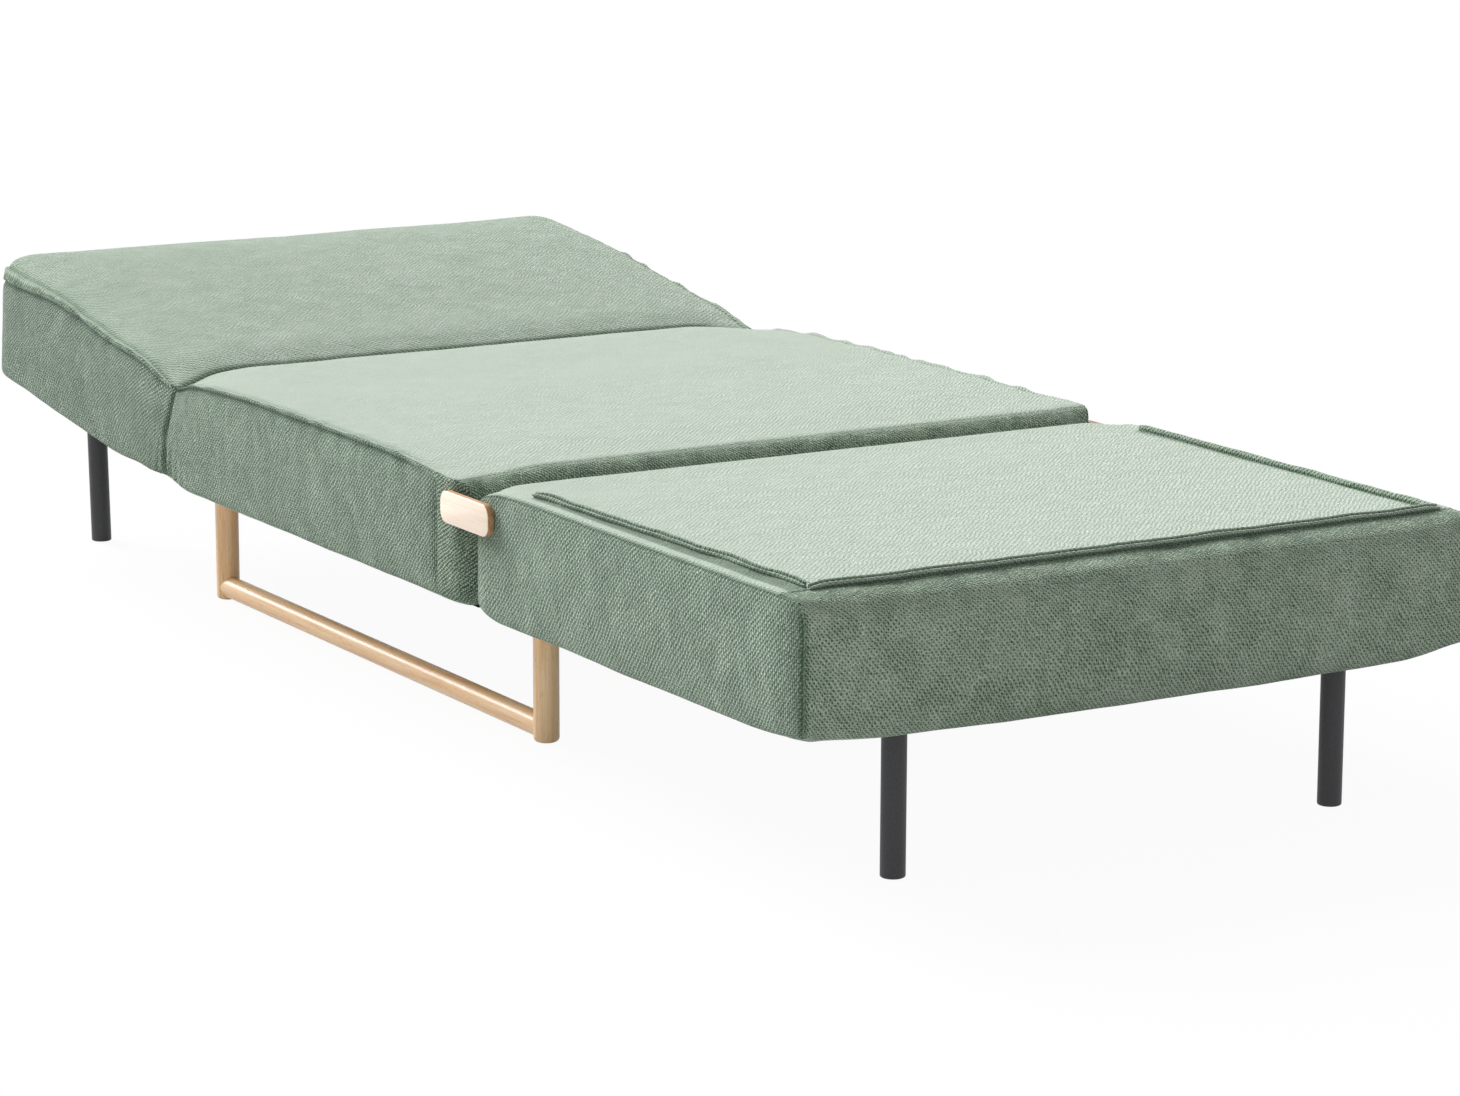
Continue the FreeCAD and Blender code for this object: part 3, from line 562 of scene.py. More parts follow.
def subdivide_once(block):
    select_only(block)
    bpy.ops.object.modifier_add(type="SUBSURF")
    modifier = block.modifiers[-1]
    modifier.levels = 1
    modifier.render_levels = 1
    bpy.ops.object.modifier_apply(modifier=modifier.name)
    bpy.ops.object.shade_smooth()


def subdivide_with_places(block, box_points):
    """Subdivides once, and gives the place of each point on the unrounded box as x, y and z."""
    names = ["box_" + axis for axis in "xyz"]
    for name, values in zip(names, box_points.T):
        keep(block, name, values)
    subdivide_once(block)
    columns = np.empty((3, len(block.data.vertices)))
    for name, column in zip(names, columns):
        block.data.attributes[name].data.foreach_get("value", column)
    for name in names:
        block.data.attributes.remove(block.data.attributes[name])
    return columns


def uneven(points, scale, seed):
    """A slow, smooth variation between about -1 and 1 for each point."""
    shift = Vector((seed * 7.3, seed * 3.1, seed * 1.7))
    return np.array([noise.noise(Vector(p) / scale + shift) for p in points])


# %% [markdown]
# Seat and backrest share one cover, which bends at the fold. It is modelled straight, as a sewer
# would lay it out, and bent at the end, so that panels, seams and weave can be placed by plain
# lengths. The upper edge facing the fold-out section is a round nose, because the two sections
# turn past each other there. The outline from above has 50 mm corners at the seam end.

# %% seat and backrest block
straight_end_y = fold_y + back_length
grid_spacing, fold_spacing, height_spacing = 0.017, 0.009, 0.014
bend_room = 0.080
welt_width = 0.0075
border_seam_y = seam_y + 0.080
border_top_y = seam_y + 0.028
side_line = half_width - welt_width
welt_low_z = top_z - 0.0062
groove_room = 0.0022

seat = start_block("seat_and_back_upholstery", (-half_width, seam_y + 0.0005, underside_z),
                   (half_width, straight_end_y, top_z))
half_cuts = graded(0.0, half_width - 0.062, half_width - 0.034, half_width - 0.020, side_line - groove_room,
                   side_line, side_line + groove_room, spacing=grid_spacing)
length_cuts = graded(seam_y + 0.006, seam_y + 0.016, border_top_y - groove_room, border_top_y,
                     border_top_y + groove_room, seam_y + 0.042, seam_y + 0.056, border_seam_y - groove_room,
                     border_seam_y, border_seam_y + groove_room, seam_y + 0.10, fold_y - bend_room,
                     spacing=grid_spacing)
length_cuts += graded(fold_y - bend_room, fold_y - 0.010, fold_y - 0.004, fold_y, fold_y + 0.004,
                      fold_y + 0.010, fold_y + bend_room, spacing=fold_spacing)[1:]
length_cuts += graded(fold_y + bend_room, straight_end_y - 0.026, straight_end_y - 0.016,
                      straight_end_y - 0.007, spacing=grid_spacing)[1:]
height_cuts = graded(underside_z + 0.006, underside_z + 0.016, top_z - 0.022, welt_low_z - groove_room,
                     welt_low_z, welt_low_z + groove_room, spacing=height_spacing)
cut_across(seat, both_sides(half_cuts), length_cuts, height_cuts)
print("seat and back block has", len(seat.data.polygons), "faces")

# %% weave map and rounded corners
seam_end_radii = (link_nose_radius, 0.016, 0.050)
head_end_radii = (0.018, 0.014, 0.025)
seat_side_under_radius = 0.012


def on_front_border(centre, normal):
    return centre.y < border_seam_y and (abs(normal.z) < 0.5 or centre.y < border_top_y)


# The border facing the fold-out takes the darker cloth, partly painted shade for the gap between the sections.
dress(seat, on_front_border, math.radians(12))
box_points = points_of(seat)
points = box_points.copy()
round_block(points, (seam_y, straight_end_y), top_z, seam_end_radii, head_end_radii, seat_side_under_radius)
set_points(seat, points)

# %% padding of seat and backrest
crown_at_fold, more_seat_crown = 0.0008, 0.0030
low_back_crown, more_back_crown = 0.006, 0.011
side_cap, end_cap, under_cap = 0.005, 0.012, 0.006
x, y, z = box_points.T
aside = np.abs(x)
on_side = near(aside, half_width)
on_top = near(z, top_z)
on_bottom = near(z, underside_z)
on_end = near(y, straight_end_y)
pinned = (on_side & (near(z, top_z) | near(z, welt_low_z) | near(z, underside_z) | near(y, border_seam_y)))
pinned |= on_top & (near(aside, side_line) | near(y, border_top_y) | near(y, fold_y))
pinned |= (y < seam_y + 0.03) | (on_bottom & (y < fold_y))
pinned |= on_end & (on_top | on_bottom | on_side)
seat_crown = crown_at_fold + more_seat_crown * (1 - rise(y, fold_y - 0.34, fold_y - 0.20))
seat_crown *= 1 - 0.85 * rise(aside, 0.27, 0.355)
back_crown = low_back_crown + more_back_crown * rise(y, fold_y + 0.10, fold_y + 0.26)
top_cap = np.where(y > fold_y, back_crown, seat_crown)
cap = np.where(on_top, top_cap, np.where(on_side, side_cap, np.where(on_end, end_cap, under_cap)))
cap = np.where(on_bottom & (y < fold_y), 0.0, cap)
cap *= rise(y, seam_y + 0.03, seam_y + 0.16)
pad_out(seat, pinned, cap)
x, y, z = subdivide_with_places(seat, box_points)
aside = np.abs(x)
print("seat and back cover has", len(seat.data.vertices), "points, box places",
      [round(float(v), 3) for v in (x.max(), y.max(), z.max())])

# %% [markdown]
# Seams come after the padding. A seam is a narrow groove along a line, deep enough to catch a
# shadow, and the cloth beside it puckers a little, most on the outside of the bend where it has
# nowhere to go. The upper side edges have two rows of stitching with a narrow flat welt between
# them. Real covers are never straight: the side edges droop towards the fold and the front, the
# back's shoulders fall away, and slow waves run along every panel.

# %% sculpt the seams of seat and backrest
stitch_width, border_stitch_width, fold_width = 0.0018, 0.0022, 0.0055
top_groove, side_groove, border_side_groove, border_top_groove = 0.0026, 0.0030, 0.0016, 0.0014
fold_groove, fold_side_groove, darkest_depth = 0.0045, 0.0032, 0.0052
points, outward = points_of(seat), normals_of(seat)
beyond = y - fold_y  # how far a point lies past the fold, towards the head end
on_side = near(aside, half_width, 0.003)
on_top = near(z, top_z, 0.003)
welt_fade = rise(y, seam_y + 0.07, seam_y + 0.17)
sink = welt_fade * on_top * bump_at(aside, side_line, stitch_width) * top_groove
sink += welt_fade * on_side * bump_at(z, welt_low_z, stitch_width) * side_groove
sink += on_side * bump_at(y, border_seam_y, border_stitch_width) * border_side_groove * (z < welt_low_z)
sink += on_top * bump_at(y, border_top_y, border_stitch_width) * border_top_groove
sink -= on_side * (bump_at(y, border_seam_y - 0.006, 0.0045) * 0.0012)
sink += on_top * bump_at(beyond, 0, fold_width) * fold_groove
sink += on_side * bump_at(beyond + (z - fold_z) * 0.09, 0, 0.0045) * fold_side_groove
push_out(points, outward, -sink)
# painted shade in the grooves and the fold crease, darkest where they sink deepest
keep(seat, "seam", np.clip(sink / darkest_depth, 0, 1))

# %% painted panel shade of seat and backrest
# Painted shade for each panel, standing in for how the light falls: the front border, the sides and the back's
# rear are darker than the seat's top, and the backrest's top a little darker too.
border_side_shade, border_top_shade, back_top_shade, back_rear_shade = 1.6, 1.15, 0.46, 1.9
seat_side_shade, more_back_side_shade = 1.95, 0.45
past_fold = rise(beyond, -0.004, 0.004)
is_panel = (aside > half_width - 0.002) | (y > straight_end_y - 0.002)
side_and_end_shade = np.where(y < border_seam_y, border_side_shade, seat_side_shade + more_back_side_shade * past_fold)
border_shade = border_top_shade * (1 - rise(y, border_top_y - 0.012, border_top_y + 0.012))
back_shade = np.where((z < underside_z + 0.002) & (y > fold_y), back_rear_shade, back_top_shade * past_fold)
keep(seat, "nap", np.where(is_panel, side_and_end_shade, np.maximum(border_shade, back_shade)))

# %% droop of the top, the edges and the underside
side_share = rise(aside, half_width - 0.11, half_width)
edge_share = rise(aside, half_width - 0.07, half_width)
top_share = rise(z, underside_z + 0.03, top_z)
near_side = np.where(x < 0, 1.0, 0.10)
shoulder_width = 0.050
shoulder = np.clip((aside - half_width + shoulder_width) / shoulder_width, 0, 1)
shoulder = 1 - np.sqrt(1 - shoulder ** 2)
fold_dip = bump_at(beyond, 0, 0.030) * 0.0050 + bump_at(beyond, 0, 0.075) * 0.0020
end_dip = side_share * (bump_at(beyond, -0.01, 0.15) * 0.0080
                        + bump_at(y, seam_y + 0.05, 0.085) * 0.0085 * near_side)
end_dip += edge_share * bump_at(beyond, 0, 0.06) * 0.0060
end_dip += shoulder * (rise(beyond, 0.05, 0.20) * 0.0090
                       + rise(beyond, 0.30, 0.50) * 0.0170)
end_dip -= rise(beyond, 0.10, 0.45) * 0.0075
points[:, 1] -= top_share * edge_share * bump_at(beyond, 0, 0.055) * 0.018
points[:, 2] -= top_share * (fold_dip * on_top + end_dip)
under_share = 1 - rise(z, underside_z, underside_z + 0.05)
tuck_share = rise(aside, half_width - 0.050, half_width)
points[:, 2] += under_share * tuck_share * bump_at(beyond, 0.005, 0.035) * 0.0080
points[:, 2] -= under_share * rise(beyond, 0.07, 0.17) * 0.0090
cloth_room = np.minimum(half_width - aside, np.minimum(y - seam_y, fold_y - y))
points[:, 2] += (z < underside_z + 0.002) * rise(cloth_room, 0.006, 0.018) * 0.0014
points[:, 0] -= np.sign(x) * on_side * bump_at(beyond, 0, 0.045) * 0.0012

# %% puckers and waves
pucker_pitch = 0.017
pucker = np.sin((beyond + (z - underside_z) * 0.35) * 2 * math.pi / pucker_pitch)
pucker *= bump_at(beyond, 0, 0.040) * (1 - rise(z, underside_z + 0.01, underside_z + 0.09))
push_out(points, outward, pucker * on_side * 0.0014)
edge_share = on_side * bump_at(z, top_z, 0.030) + on_top * bump_at(aside, half_width, 0.035)
push_out(points, outward, edge_share * uneven(points, 0.022, 3) * 0.0015 * welt_fade)
open_share = rise(y, seam_y + 0.02, seam_y + 0.08)
for wave_length, height, seed in ((0.13, 0.0013, 1), (0.035, 0.0004, 2)):
    push_out(points, outward, uneven(points, wave_length, seed) * height * open_share)
set_points(seat, points)

# %% [markdown]
# The bend: each point turns about the hinge line by a share of the tilt, nothing on the seat and
# all of it on the backrest, and smoothly in between.

# %% bend at the fold
share = rise(y, fold_y - bend_room, fold_y + bend_room)
turn = share * back_tilt
offset_y, offset_z = points[:, 1] - fold_y, points[:, 2] - fold_z
bent = points.copy()
bent[:, 1] = fold_y + offset_y * np.cos(turn) - offset_z * np.sin(turn)
bent[:, 2] = fold_z + offset_y * np.sin(turn) + offset_z * np.cos(turn)
set_points(seat, bent)
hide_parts("seat_cover", "back_cover", "fold_wedge_foam", "back_rear_panel", "seat_foam", "back_foam")
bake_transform(seat)
print("seat and back cover spans", [round(float(v), 3) for v in np.ptp(bent, axis=0)])

# %% [markdown]
# The fold-out section is made the same way, with a nose towards the seat to match, and with a
# large soft rounding along the upper front edge, where the front panel rolls over onto the top.
# It rides on its own body, because it folds right over onto the seat.

# %% fold-out block
foot_end_radii = (0.018, 0.016, 0.021)
rear_end_radii = (flap_top_z - link_pivot_z, 0.020, 0.026)
fold_out_side_under_radius = 0.014
welt_low, welt_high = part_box("fold_out_welt")
flange_base, flange_shadow = 0.0045, 0.0075
flange_x = welt_high.x - flange_base
flange_front_y = welt_low.y + 0.0030
flange_rear_y = welt_high.y
rear_y = seam_y - 0.0005
fold_out = start_block("fold_out_upholstery", (-half_width, flap_end_y, underside_z),
                       (half_width, rear_y, flap_top_z))
half_cuts = graded(0.0, flange_x - 0.020, flange_x - flange_shadow, flange_x - flange_base, flange_x,
                   flange_x + flange_base, flange_x + flange_shadow, half_width - 0.009,
                   half_width - groove_room, spacing=grid_spacing)
length_cuts = graded(flap_end_y + groove_room, flap_end_y + 0.008, flap_end_y + 0.018,
                     flange_front_y - flange_shadow, flange_front_y - flange_base, flange_front_y,
                     flange_front_y + flange_base, flange_front_y + flange_shadow, rear_y - 0.056,
                     rear_y - 0.042, rear_y - 0.028, rear_y - 0.016, rear_y - 0.006, spacing=grid_spacing)
height_cuts = graded(underside_z + 0.006, underside_z + 0.016, flap_top_z - 0.030, flap_top_z - 0.020,
                     flap_top_z - 0.010, flap_top_z - 0.0045, flap_top_z - groove_room,
                     spacing=height_spacing)
cut_across(fold_out, both_sides(half_cuts), length_cuts, height_cuts)


def on_front_panel(centre, normal):
    return normal.y < -0.5 or (normal.z > 0.5 and centre.y < flange_front_y)


# The front panel and its roll take the darker cloth, partly painted shade for the front, which faces away from
# the key light.
dress(fold_out, on_front_panel, math.radians(6))
box_points = points_of(fold_out)
points = box_points.copy()
round_block(points, (flap_end_y, rear_y), flap_top_z, foot_end_radii, rear_end_radii,
            fold_out_side_under_radius)
set_points(fold_out, points)
print("fold-out block has", len(fold_out.data.polygons), "faces")

# %% padding of the fold-out
top_cap, under_cap, side_cap = 0.0028, 0.0030, 0.0050
x, y, z = box_points.T
aside = np.abs(x)
on_side = near(aside, half_width)
on_top = near(z, flap_top_z)
on_bottom = near(z, underside_z)
on_front = near(y, flap_end_y)
pinned = on_side & (on_top | on_bottom | on_front)
pinned |= on_front & on_bottom
pinned |= y > rear_y - 0.035
pinned |= on_top & (near(aside, flange_x) & (y > flange_front_y - 0.001) | near(y, flange_front_y))
cap = np.where(on_top, top_cap, np.where(on_bottom, under_cap, side_cap))
cap = cap * rise(-y, -rear_y + 0.085, -rear_y + 0.19)
pad_out(fold_out, pinned, cap)
x, y, z = subdivide_with_places(fold_out, box_points)
aside = np.abs(x)

# %% seams and stitches of the fold-out
edge_stitch_width, corner_stitch_width = 0.0022, 0.0024
edge_groove, corner_groove = 0.0018, 0.0014
stitch_pitch, stitch_height = 0.0055, 0.0008
points, outward = points_of(fold_out), normals_of(fold_out)
on_side = near(aside, half_width, 0.003)
on_top = near(z, flap_top_z, 0.003)
on_front = near(y, flap_end_y, 0.003)
edge_room = np.minimum(half_width - aside, 1.0)
rear_share = rise(-y, -rear_y + 0.008, -rear_y + 0.05)
top_edge = (on_side * bump_at(z, flap_top_z, edge_stitch_width)
            + on_top * bump_at(edge_room, 0, edge_stitch_width)) * rear_share
top_edge = np.minimum(top_edge, 1.0) * rise(y, flap_end_y + 0.012, flap_end_y + 0.03)
corner_edge = (on_side * bump_at(y, flap_end_y, corner_stitch_width)
               + on_front * bump_at(edge_room, 0, corner_stitch_width))
corner_edge = np.minimum(corner_edge, 1.0) * (1 - rise(z, flap_top_z - 0.02, flap_top_z))
push_out(points, outward, -(top_edge * edge_groove + corner_edge * corner_groove))
stitches = 0.5 + 0.5 * np.sin(z * 2 * math.pi / stitch_pitch)
beside_corner = (on_side * bump_at(y, flap_end_y + 0.004, 0.003)
                 + on_front * bump_at(edge_room, 0.004, 0.003))
push_out(points, outward, beside_corner * stitch_height * (0.5 + 0.5 * stitches))

# %% painted shade of the fold-out
side_shade, roll_shade, more_front_shade = 1.80, 0.6, 0.9
# painted shade in the stitched grooves, and a painted shadow on the top along both sides of the flange
flange_span = (y > flange_front_y - 0.004) & (y < flange_rear_y - 0.002) & (aside < flange_x + 0.008)
beside_flange = np.maximum(bump_at(aside, flange_x, 0.0085), bump_at(y, flange_front_y, 0.0085))
flange_shade = on_top * flange_span * np.minimum(1.6 * beside_flange, 1)
keep(fold_out, "seam", np.clip(top_edge * 0.75 + corner_edge * 0.40 + flange_shade, 0, 1))
# painted panel shade: the front roll, the front panel and the sides are darker than the top
front_shade = roll_shade + more_front_shade * rise(y, flap_end_y + 0.001, flap_end_y + 0.012)
front_shade = np.where(y < flange_front_y + 0.001, front_shade, 0.0)
is_side = (aside > half_width - 0.002) & (y > flap_end_y + 0.002)
keep(fold_out, "nap", np.where(is_side, side_shade, front_shade))

# %% droop, puckers and waves of the fold-out
side_share = rise(aside, half_width - 0.10, half_width)
sag = (1 - rise(aside, 0.12, half_width)) * (1 - rise(y, flap_end_y, flap_end_y + 0.25))
low_share = 1 - rise(z, underside_z, underside_z + 0.07)
points[:, 2] -= low_share * (sag * 0.0045 + 0.0050 * rear_share * np.where(x < 0, 1.0, 1 - side_share))
points[:, 2] += side_share * low_share * bump_at(y, flap_end_y + 0.01, 0.05) * 0.0060
top_share = rise(z, underside_z + 0.05, flap_top_z)
points[:, 2] -= top_share * side_share * bump_at(y, rear_y - 0.02, 0.06) * 0.0030 * rear_share
corner_share = rise(aside, half_width - 0.045, half_width) * rise(y, rear_y - 0.060, rear_y)
points[:, 2] -= corner_share * rise(z, flap_top_z - 0.05, flap_top_z) * 0.0100
points[:, 1] += corner_share * (1 - rise(z, flap_top_z - 0.06, flap_top_z - 0.02)) * 0.0070
points[:, 2] += top_share * on_top * rear_share * (y > flange_front_y) * 0.0006
pucker_pitch = 0.016
pucker = np.sin((y - (z - flap_top_z) * 0.8) * 2 * math.pi / pucker_pitch)
pucker *= bump_at(y, rear_y - 0.062, 0.022) * rise(z, flap_top_z - 0.05, flap_top_z - 0.01)
push_out(points, outward, pucker * on_side * 0.0007)
edge_share = on_side * bump_at(z, flap_top_z, 0.030) * rear_share
push_out(points, outward, edge_share * uneven(points, 0.026, 6) * 0.0010)
for wave_length, height, seed in ((0.13, 0.0011, 4), (0.035, 0.0004, 5)):
    push_out(points, outward, uneven(points, wave_length, seed) * height * rear_share)
set_points(fold_out, points)
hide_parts("fold_out_cover", "fold_out_under_panel", "fold_out_top_foam", "fold_out_under_foam")
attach(fold_out, "fold_out")
print("fold-out cover spans", [round(float(v), 3) for v in np.ptp(points, axis=0)])

# %% [markdown]
# On the fold-out's top stands a flange on three sides: the joined edges of two panels, folded
# together and stitched, as thick as four layers of cloth. Each side is its own strip with cut
# ends, soft and wavy. A strip starts as a long box and is cut into short lengths. Its top then
# gets a valley between two lips, where the folded edges lie side by side, the outer one lower.

# %% flange strips
flange_height = welt_high.z - flap_top_z + 0.0004
flange_thickness = 0.0080
lip_rounding, valley_width, valley_depth, outer_lip_drop = 0.0016, 0.0008, 0.0042, 0.0020


def noise_along(line, wave_length, shift):
    shift = Vector((shift, 0, 0))
    return np.array([noise.noise(Vector((place, 0, 0)) / wave_length + shift) for place in line])


def flange_strip(name, start, end, outer, nap, seed):
    """A folded strip from start to end on the top. outer is -1 or 1, the side that is away from the middle."""
    start, end = Vector(start), Vector(end)
    length = (end - start).length
    half = flange_thickness / 2
    strip = start_block(name, (0, -half, -0.0015), (length, half, flange_height))
    cut_across(strip, graded(0.002, 0.006, length - 0.006, length - 0.002, spacing=0.006),
               [-0.0030, -0.0014, -0.0006, 0.0, 0.0006, 0.0014, 0.0030],
               [0.0010, 0.0025, 0.0040, 0.0055, flange_height - 0.0012])
    points = points_of(strip)
    layer = strip.data.uv_layers.new(name="cloth")
    corners = [points[loop.vertex_index] for loop in strip.data.loops]
    layer.data.foreach_set("uv", np.array([(p[0], p[1] + p[2]) for p in corners], np.float32).ravel())
    x, y, z = points.T.copy()
    height = np.clip(z / flange_height, 0, 1)
    valley = bump_at(y, 0, valley_width) * rise(z, flange_height * 0.3, flange_height)
    round_corner(points, (1, 2), (half, flange_height), (1, 1), lip_rounding)
    round_corner(points, (1, 2), (-half, flange_height), (-1, 1), lip_rounding)
    points[:, 2] -= valley * valley_depth + height * rise(y * outer, -0.0006, 0.0014) * outer_lip_drop
    points[:, 1] *= 1 - 0.22 * bump_at(z, flange_height * 0.25, 0.0016)
    wave, ripple = noise_along(x, 0.055, seed), noise_along(x, 0.018, seed + 9)
    points[:, 1] += (wave * 0.0048 + ripple * 0.0010) * height + wave * 0.0014
    points[:, 1] += outer * 0.0016 * height ** 1.5
    drop = np.abs(noise_along(x, 0.07, seed + 4))
    ends = bump_at(x, 0, 0.010) + bump_at(x, length, 0.010)
    points[:, 2] -= height * (drop * 0.0010 + ends * 0.0018)
    along = (end - start).normalized()
    sideways = Vector((-along.y, along.x, 0))
    placed = np.array(start) + np.outer(points[:, 0], along) + np.outer(points[:, 1], sideways)
    placed[:, 2] = flap_top_z + points[:, 2]
    set_points(strip, placed)
    # painted shade: the lower part of each side and the valley between the lips are darkened, and the whole
    # strip takes one painted panel shade
    side_face = rise(np.abs(y), half - 0.0012, half - 0.0002)
    base_shade = side_face * (1.6 - 1.6 * rise(z, 0.0026, 0.0048))
    keep(strip, "seam", np.clip(valley * 1.7 + base_shade, 0, 1))
    keep(strip, "nap", np.full(len(points), nap))
    subdivide_once(strip)
    strip.data.materials.append(upholstery)
    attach(strip, "fold_out")
    print(name, "is", round(length, 3), "long")
    return strip


# The fifth value is each strip's painted panel shade: the two side strips are darker than the front one.
flange_strip("fold_out_flange_left", (flange_x - 0.006, flange_front_y + 0.005, 0),
             (flange_x, flange_rear_y, 0), -1, 0.9, 1)
flange_strip("fold_out_flange_right", (-flange_x + 0.014, flange_front_y + 0.005, 0),
             (-flange_x, flange_rear_y, 0), 1, 0.9, 2)
front_flange = flange_strip("fold_out_flange_front", (-flange_x + 0.010, flange_front_y, 0),
                            (flange_x + 0.002, flange_front_y, 0), -1, 0.1, 3)
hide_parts("fold_out_welt")

# %% [markdown]
# Under the seat a thin black cloth hides the frame. It is cut a little smaller than the seat, so it
# doesn't show past the rounded lower edges, and stretched over the rails. Away from the two
# bearers, which press it flat, it sags by a millimetre or two.

# %% base cloth
base_cloth_margin = 0.016
base_cloth_fold_margin = 0.034
press_half_width = 0.022
base_cloth_z = underside_z + 0.0004
cloth_low = Vector((-half_width + base_cloth_margin, seam_y + base_cloth_margin, base_cloth_z))
cloth_high = Vector((half_width - base_cloth_margin, fold_y - base_cloth_fold_margin, base_cloth_z))
cloth_size = cloth_high - cloth_low
bpy.ops.object.select_all(action="DESELECT")
bpy.ops.mesh.primitive_grid_add(x_subdivisions=90, y_subdivisions=80, size=1,
                                location=(cloth_low + cloth_high) / 2)
base_sheet = bpy.context.object
base_sheet.scale = (cloth_size.x, cloth_size.y, 1)
base_sheet.name = "stretched_base_cloth"
base_sheet.data.name = "stretched_base_cloth"
bpy.ops.object.transform_apply(location=True, rotation=True, scale=True)
points = points_of(base_sheet)
bearer_low, bearer_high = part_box("bearer_left")
off_bearer = np.maximum(np.abs(np.abs(points[:, 0]) - (bearer_low.x + bearer_high.x) / 2) - press_half_width, 0)
off_edge = np.minimum(half_width - base_cloth_margin - np.abs(points[:, 0]),
                      np.minimum(points[:, 1] - cloth_low.y, cloth_high.y - points[:, 1]))
slack = rise(off_bearer, 0, 0.10) * rise(off_edge, 0, 0.05)
points[:, 2] -= slack * (0.0012 + 0.0006 * uneven(points, 0.08, 8))
set_points(base_sheet, points)
bpy.ops.object.mode_set(mode="EDIT")
bpy.ops.mesh.select_all(action="SELECT")
bpy.ops.mesh.flip_normals()
bpy.ops.object.mode_set(mode="OBJECT")
bpy.ops.object.shade_smooth()
base_sheet.data.materials.append(base_cloth)
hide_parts("seat_base_cloth")
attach(base_sheet, "seat")
print("base cloth is", round(cloth_size.x, 3), "by", round(cloth_size.y, 3))

# %% [markdown]
# The link plates are 8 mm plywood of the same beech, and their corners and rims are sanded round.
# Their almost white face is a painted highlight, and their brown edge is partly end grain and partly
# painted shade. A cube is enough: its four short edges are bevelled to the corner radius and then
# the rim of each face lightly.

# %% link plates
plate_corner_radius, plate_rim_radius = 0.0125, 0.0011


def select_edges(ob, test):
    """Selects the edges whose two ends pass the test."""
    bpy.ops.object.mode_set(mode="EDIT")
    bpy.ops.mesh.select_all(action="DESELECT")
    bpy.ops.mesh.select_mode(type="EDGE")
    bpy.ops.object.mode_set(mode="OBJECT")
    for edge in ob.data.edges:
        a, b = (ob.data.vertices[i].co for i in edge.vertices)
        edge.select = bool(test(a, b))
    bpy.ops.object.mode_set(mode="EDIT")


def link_plate(side_name):
    node = "link_plate_" + side_name
    low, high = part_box(node)
    plate = start_block("limed_" + node, low, high)
    select_edges(plate, lambda a, b: abs(a.x - b.x) > 0.005)
    bpy.ops.mesh.bevel(offset=plate_corner_radius, segments=9, profile=0.5, affect="EDGES")
    bpy.ops.object.mode_set(mode="OBJECT")
    select_edges(plate, lambda a, b: abs(a.x - b.x) < 0.0001)
    bpy.ops.mesh.bevel(offset=plate_rim_radius, segments=3, profile=0.5, affect="EDGES")
    bpy.ops.object.mode_set(mode="OBJECT")
    plate.data.materials.append(plate_face_painted_highlight)
    plate.data.materials.append(plate_edge_grain_and_shade)
    # the faces take the painted highlight, the rounded corners and rims the darker edge colour
    for face in plate.data.polygons:
        face.material_index = 0 if abs(face.normal.x) > 0.6 else 1
    bpy.ops.object.shade_smooth_by_angle(angle=math.radians(40))
    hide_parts(node)
    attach(plate, "link_plates")
    print(plate.name, "has", len(plate.data.polygons), "faces")


for side_name in ("left", "right"):
    link_plate(side_name)

# %% [markdown]
# Posts and rails are turned rods. A cylinder primitive with 64 sides is bevelled at the foot of a
# post and smoothed by angle, so the outline stays round in a close view. Each takes its size and
# place from the engineering part it stands for.

# %% turned rods
post_foot_rim = 0.005


def turned_rod(node, axis, low_rim, material):
    """A rod in a node's place, along one axis. low_rim is the bevel width at its lower end."""
    low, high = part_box(node)
    start, end = (low + high) / 2, (low + high) / 2
    start[axis], end[axis] = low[axis], high[axis]
    length = (end - start).length
    bpy.ops.object.select_all(action="DESELECT")
    bpy.ops.mesh.primitive_cylinder_add(vertices=64, radius=(high.x - low.x) / 2, depth=length)
    rod = bpy.context.object
    rod.name = "turned_" + node
    rod.data.name = "turned_" + node
    if low_rim > 0:
        select_edges(rod, lambda a, b: max(abs(a.z + length / 2), abs(b.z + length / 2)) < 1e-5)
        bpy.ops.mesh.bevel(offset=low_rim, segments=5, profile=0.5, affect="EDGES")
        bpy.ops.object.mode_set(mode="OBJECT")
    bpy.ops.object.shade_smooth_by_angle(angle=math.radians(35))
    turn = (end - start).to_track_quat("Z", "Y").to_matrix().to_4x4()
    rod.data.transform(Matrix.Translation((start + end) / 2) @ turn)
    rod.data.materials.append(material)
    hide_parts(node)
    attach(rod, "seat")


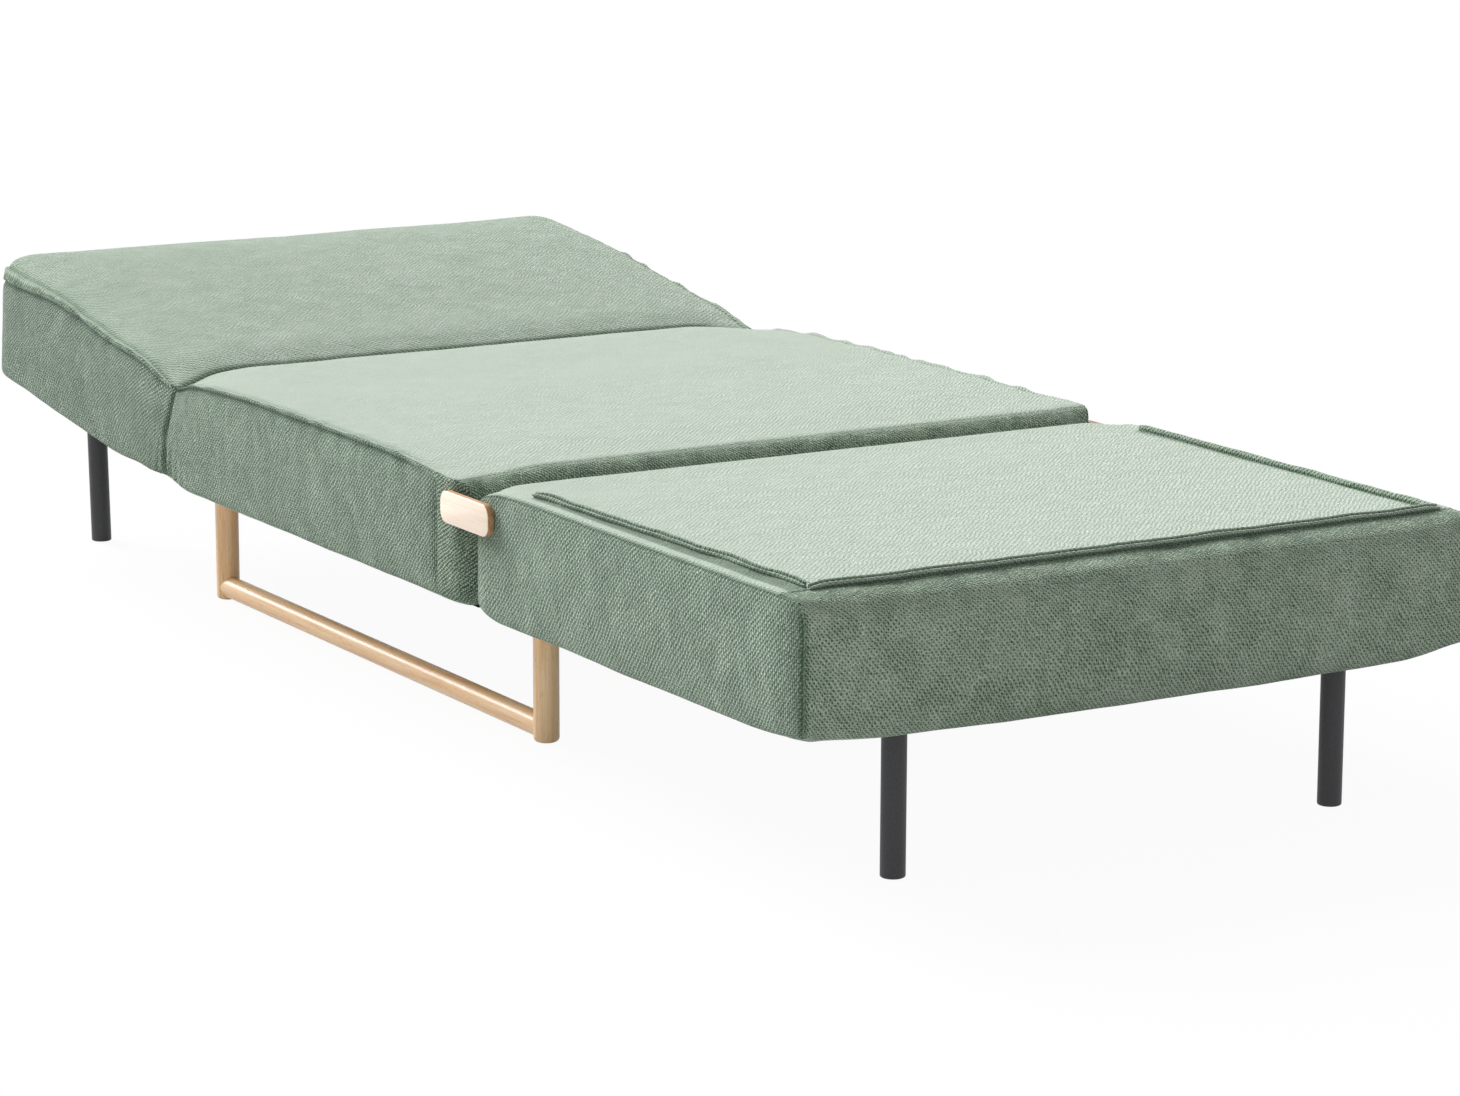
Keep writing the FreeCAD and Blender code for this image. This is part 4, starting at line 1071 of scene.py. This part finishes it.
for side_name in ("left", "right"):
    turned_rod("front_post_" + side_name, 2, post_foot_rim, beech_upright)
    turned_rod("rear_post_" + side_name, 2, post_foot_rim, beech_upright)
    turned_rod("runner_rail_" + side_name, 1, 0.0, beech_lengthwise)
print("posts and rails turned")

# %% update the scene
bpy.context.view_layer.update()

# %% [markdown]
# The studio: a pale floor and a white surround. What the camera sees directly of them is white,
# while the bed is lit at a plain level by a soft sky and one large soft key light from behind the
# head end, which is what gives the tops their brightness and leaves the front in shade. On the
# cushions, painted panel shade darkens the sides and the front further.

# %% floor


def seen_directly(material):
    """1 for what the camera sees straight, mirrored or through glass, 0 for light on its way elsewhere."""
    ray = add_node(material, "ShaderNodeLightPath").outputs
    mirrored = maths(material, "MAXIMUM", ray["Is Glossy Ray"], ray["Is Transmission Ray"])
    return maths(material, "MAXIMUM", ray["Is Camera Ray"], mirrored)


whiteness_of_floor = 0.95
bpy.ops.object.select_all(action="DESELECT")
bpy.ops.mesh.primitive_plane_add(size=60, location=(0, 0, -0.0005))
floor = bpy.context.object
floor.name = "studio_floor"
floor_material, floor_shader = new_material("pale_studio_floor", 0.9)
floor_shader.inputs["Base Color"].default_value = linear("#CDCECD")
glow = add_node(floor_material, "ShaderNodeEmission", Color=(1, 1, 1, 1), Strength=1.0)
share = maths(floor_material, "MULTIPLY", seen_directly(floor_material), whiteness_of_floor)
mixed = add_node(floor_material, "ShaderNodeMixShader", i0=share, i1=floor_shader.outputs[0],
                 i2=glow.outputs[0])
connect(floor_material, mixed.outputs[0], floor_material.node_tree.nodes["Material Output"], "Surface")
floor.data.materials.append(floor_material)

# %% surround and key light
world = bpy.data.worlds.new("studio")
bpy.context.scene.world = world
world.use_nodes = True
sky_strength = 0.50
background = world.node_tree.nodes["Background"]
background.inputs["Color"].default_value = (1, 1, 1, 1)
strength = maths(world, "ADD", maths(world, "MULTIPLY", seen_directly(world), 1 - sky_strength), sky_strength)
connect(world, strength, background, "Strength")

key_data = bpy.data.lights.new("key", "SUN")
key_data.energy = 5.6
key_data.angle = math.radians(35)
key = bpy.data.objects.new("key", key_data)
bpy.context.scene.collection.objects.link(key)
key_from = Vector((-0.22, 0.83, 0.60))
key.rotation_euler = key_from.to_track_quat("Z", "Y").to_euler()
bpy.context.scene.view_settings.view_transform = "Standard"
print("studio ready")
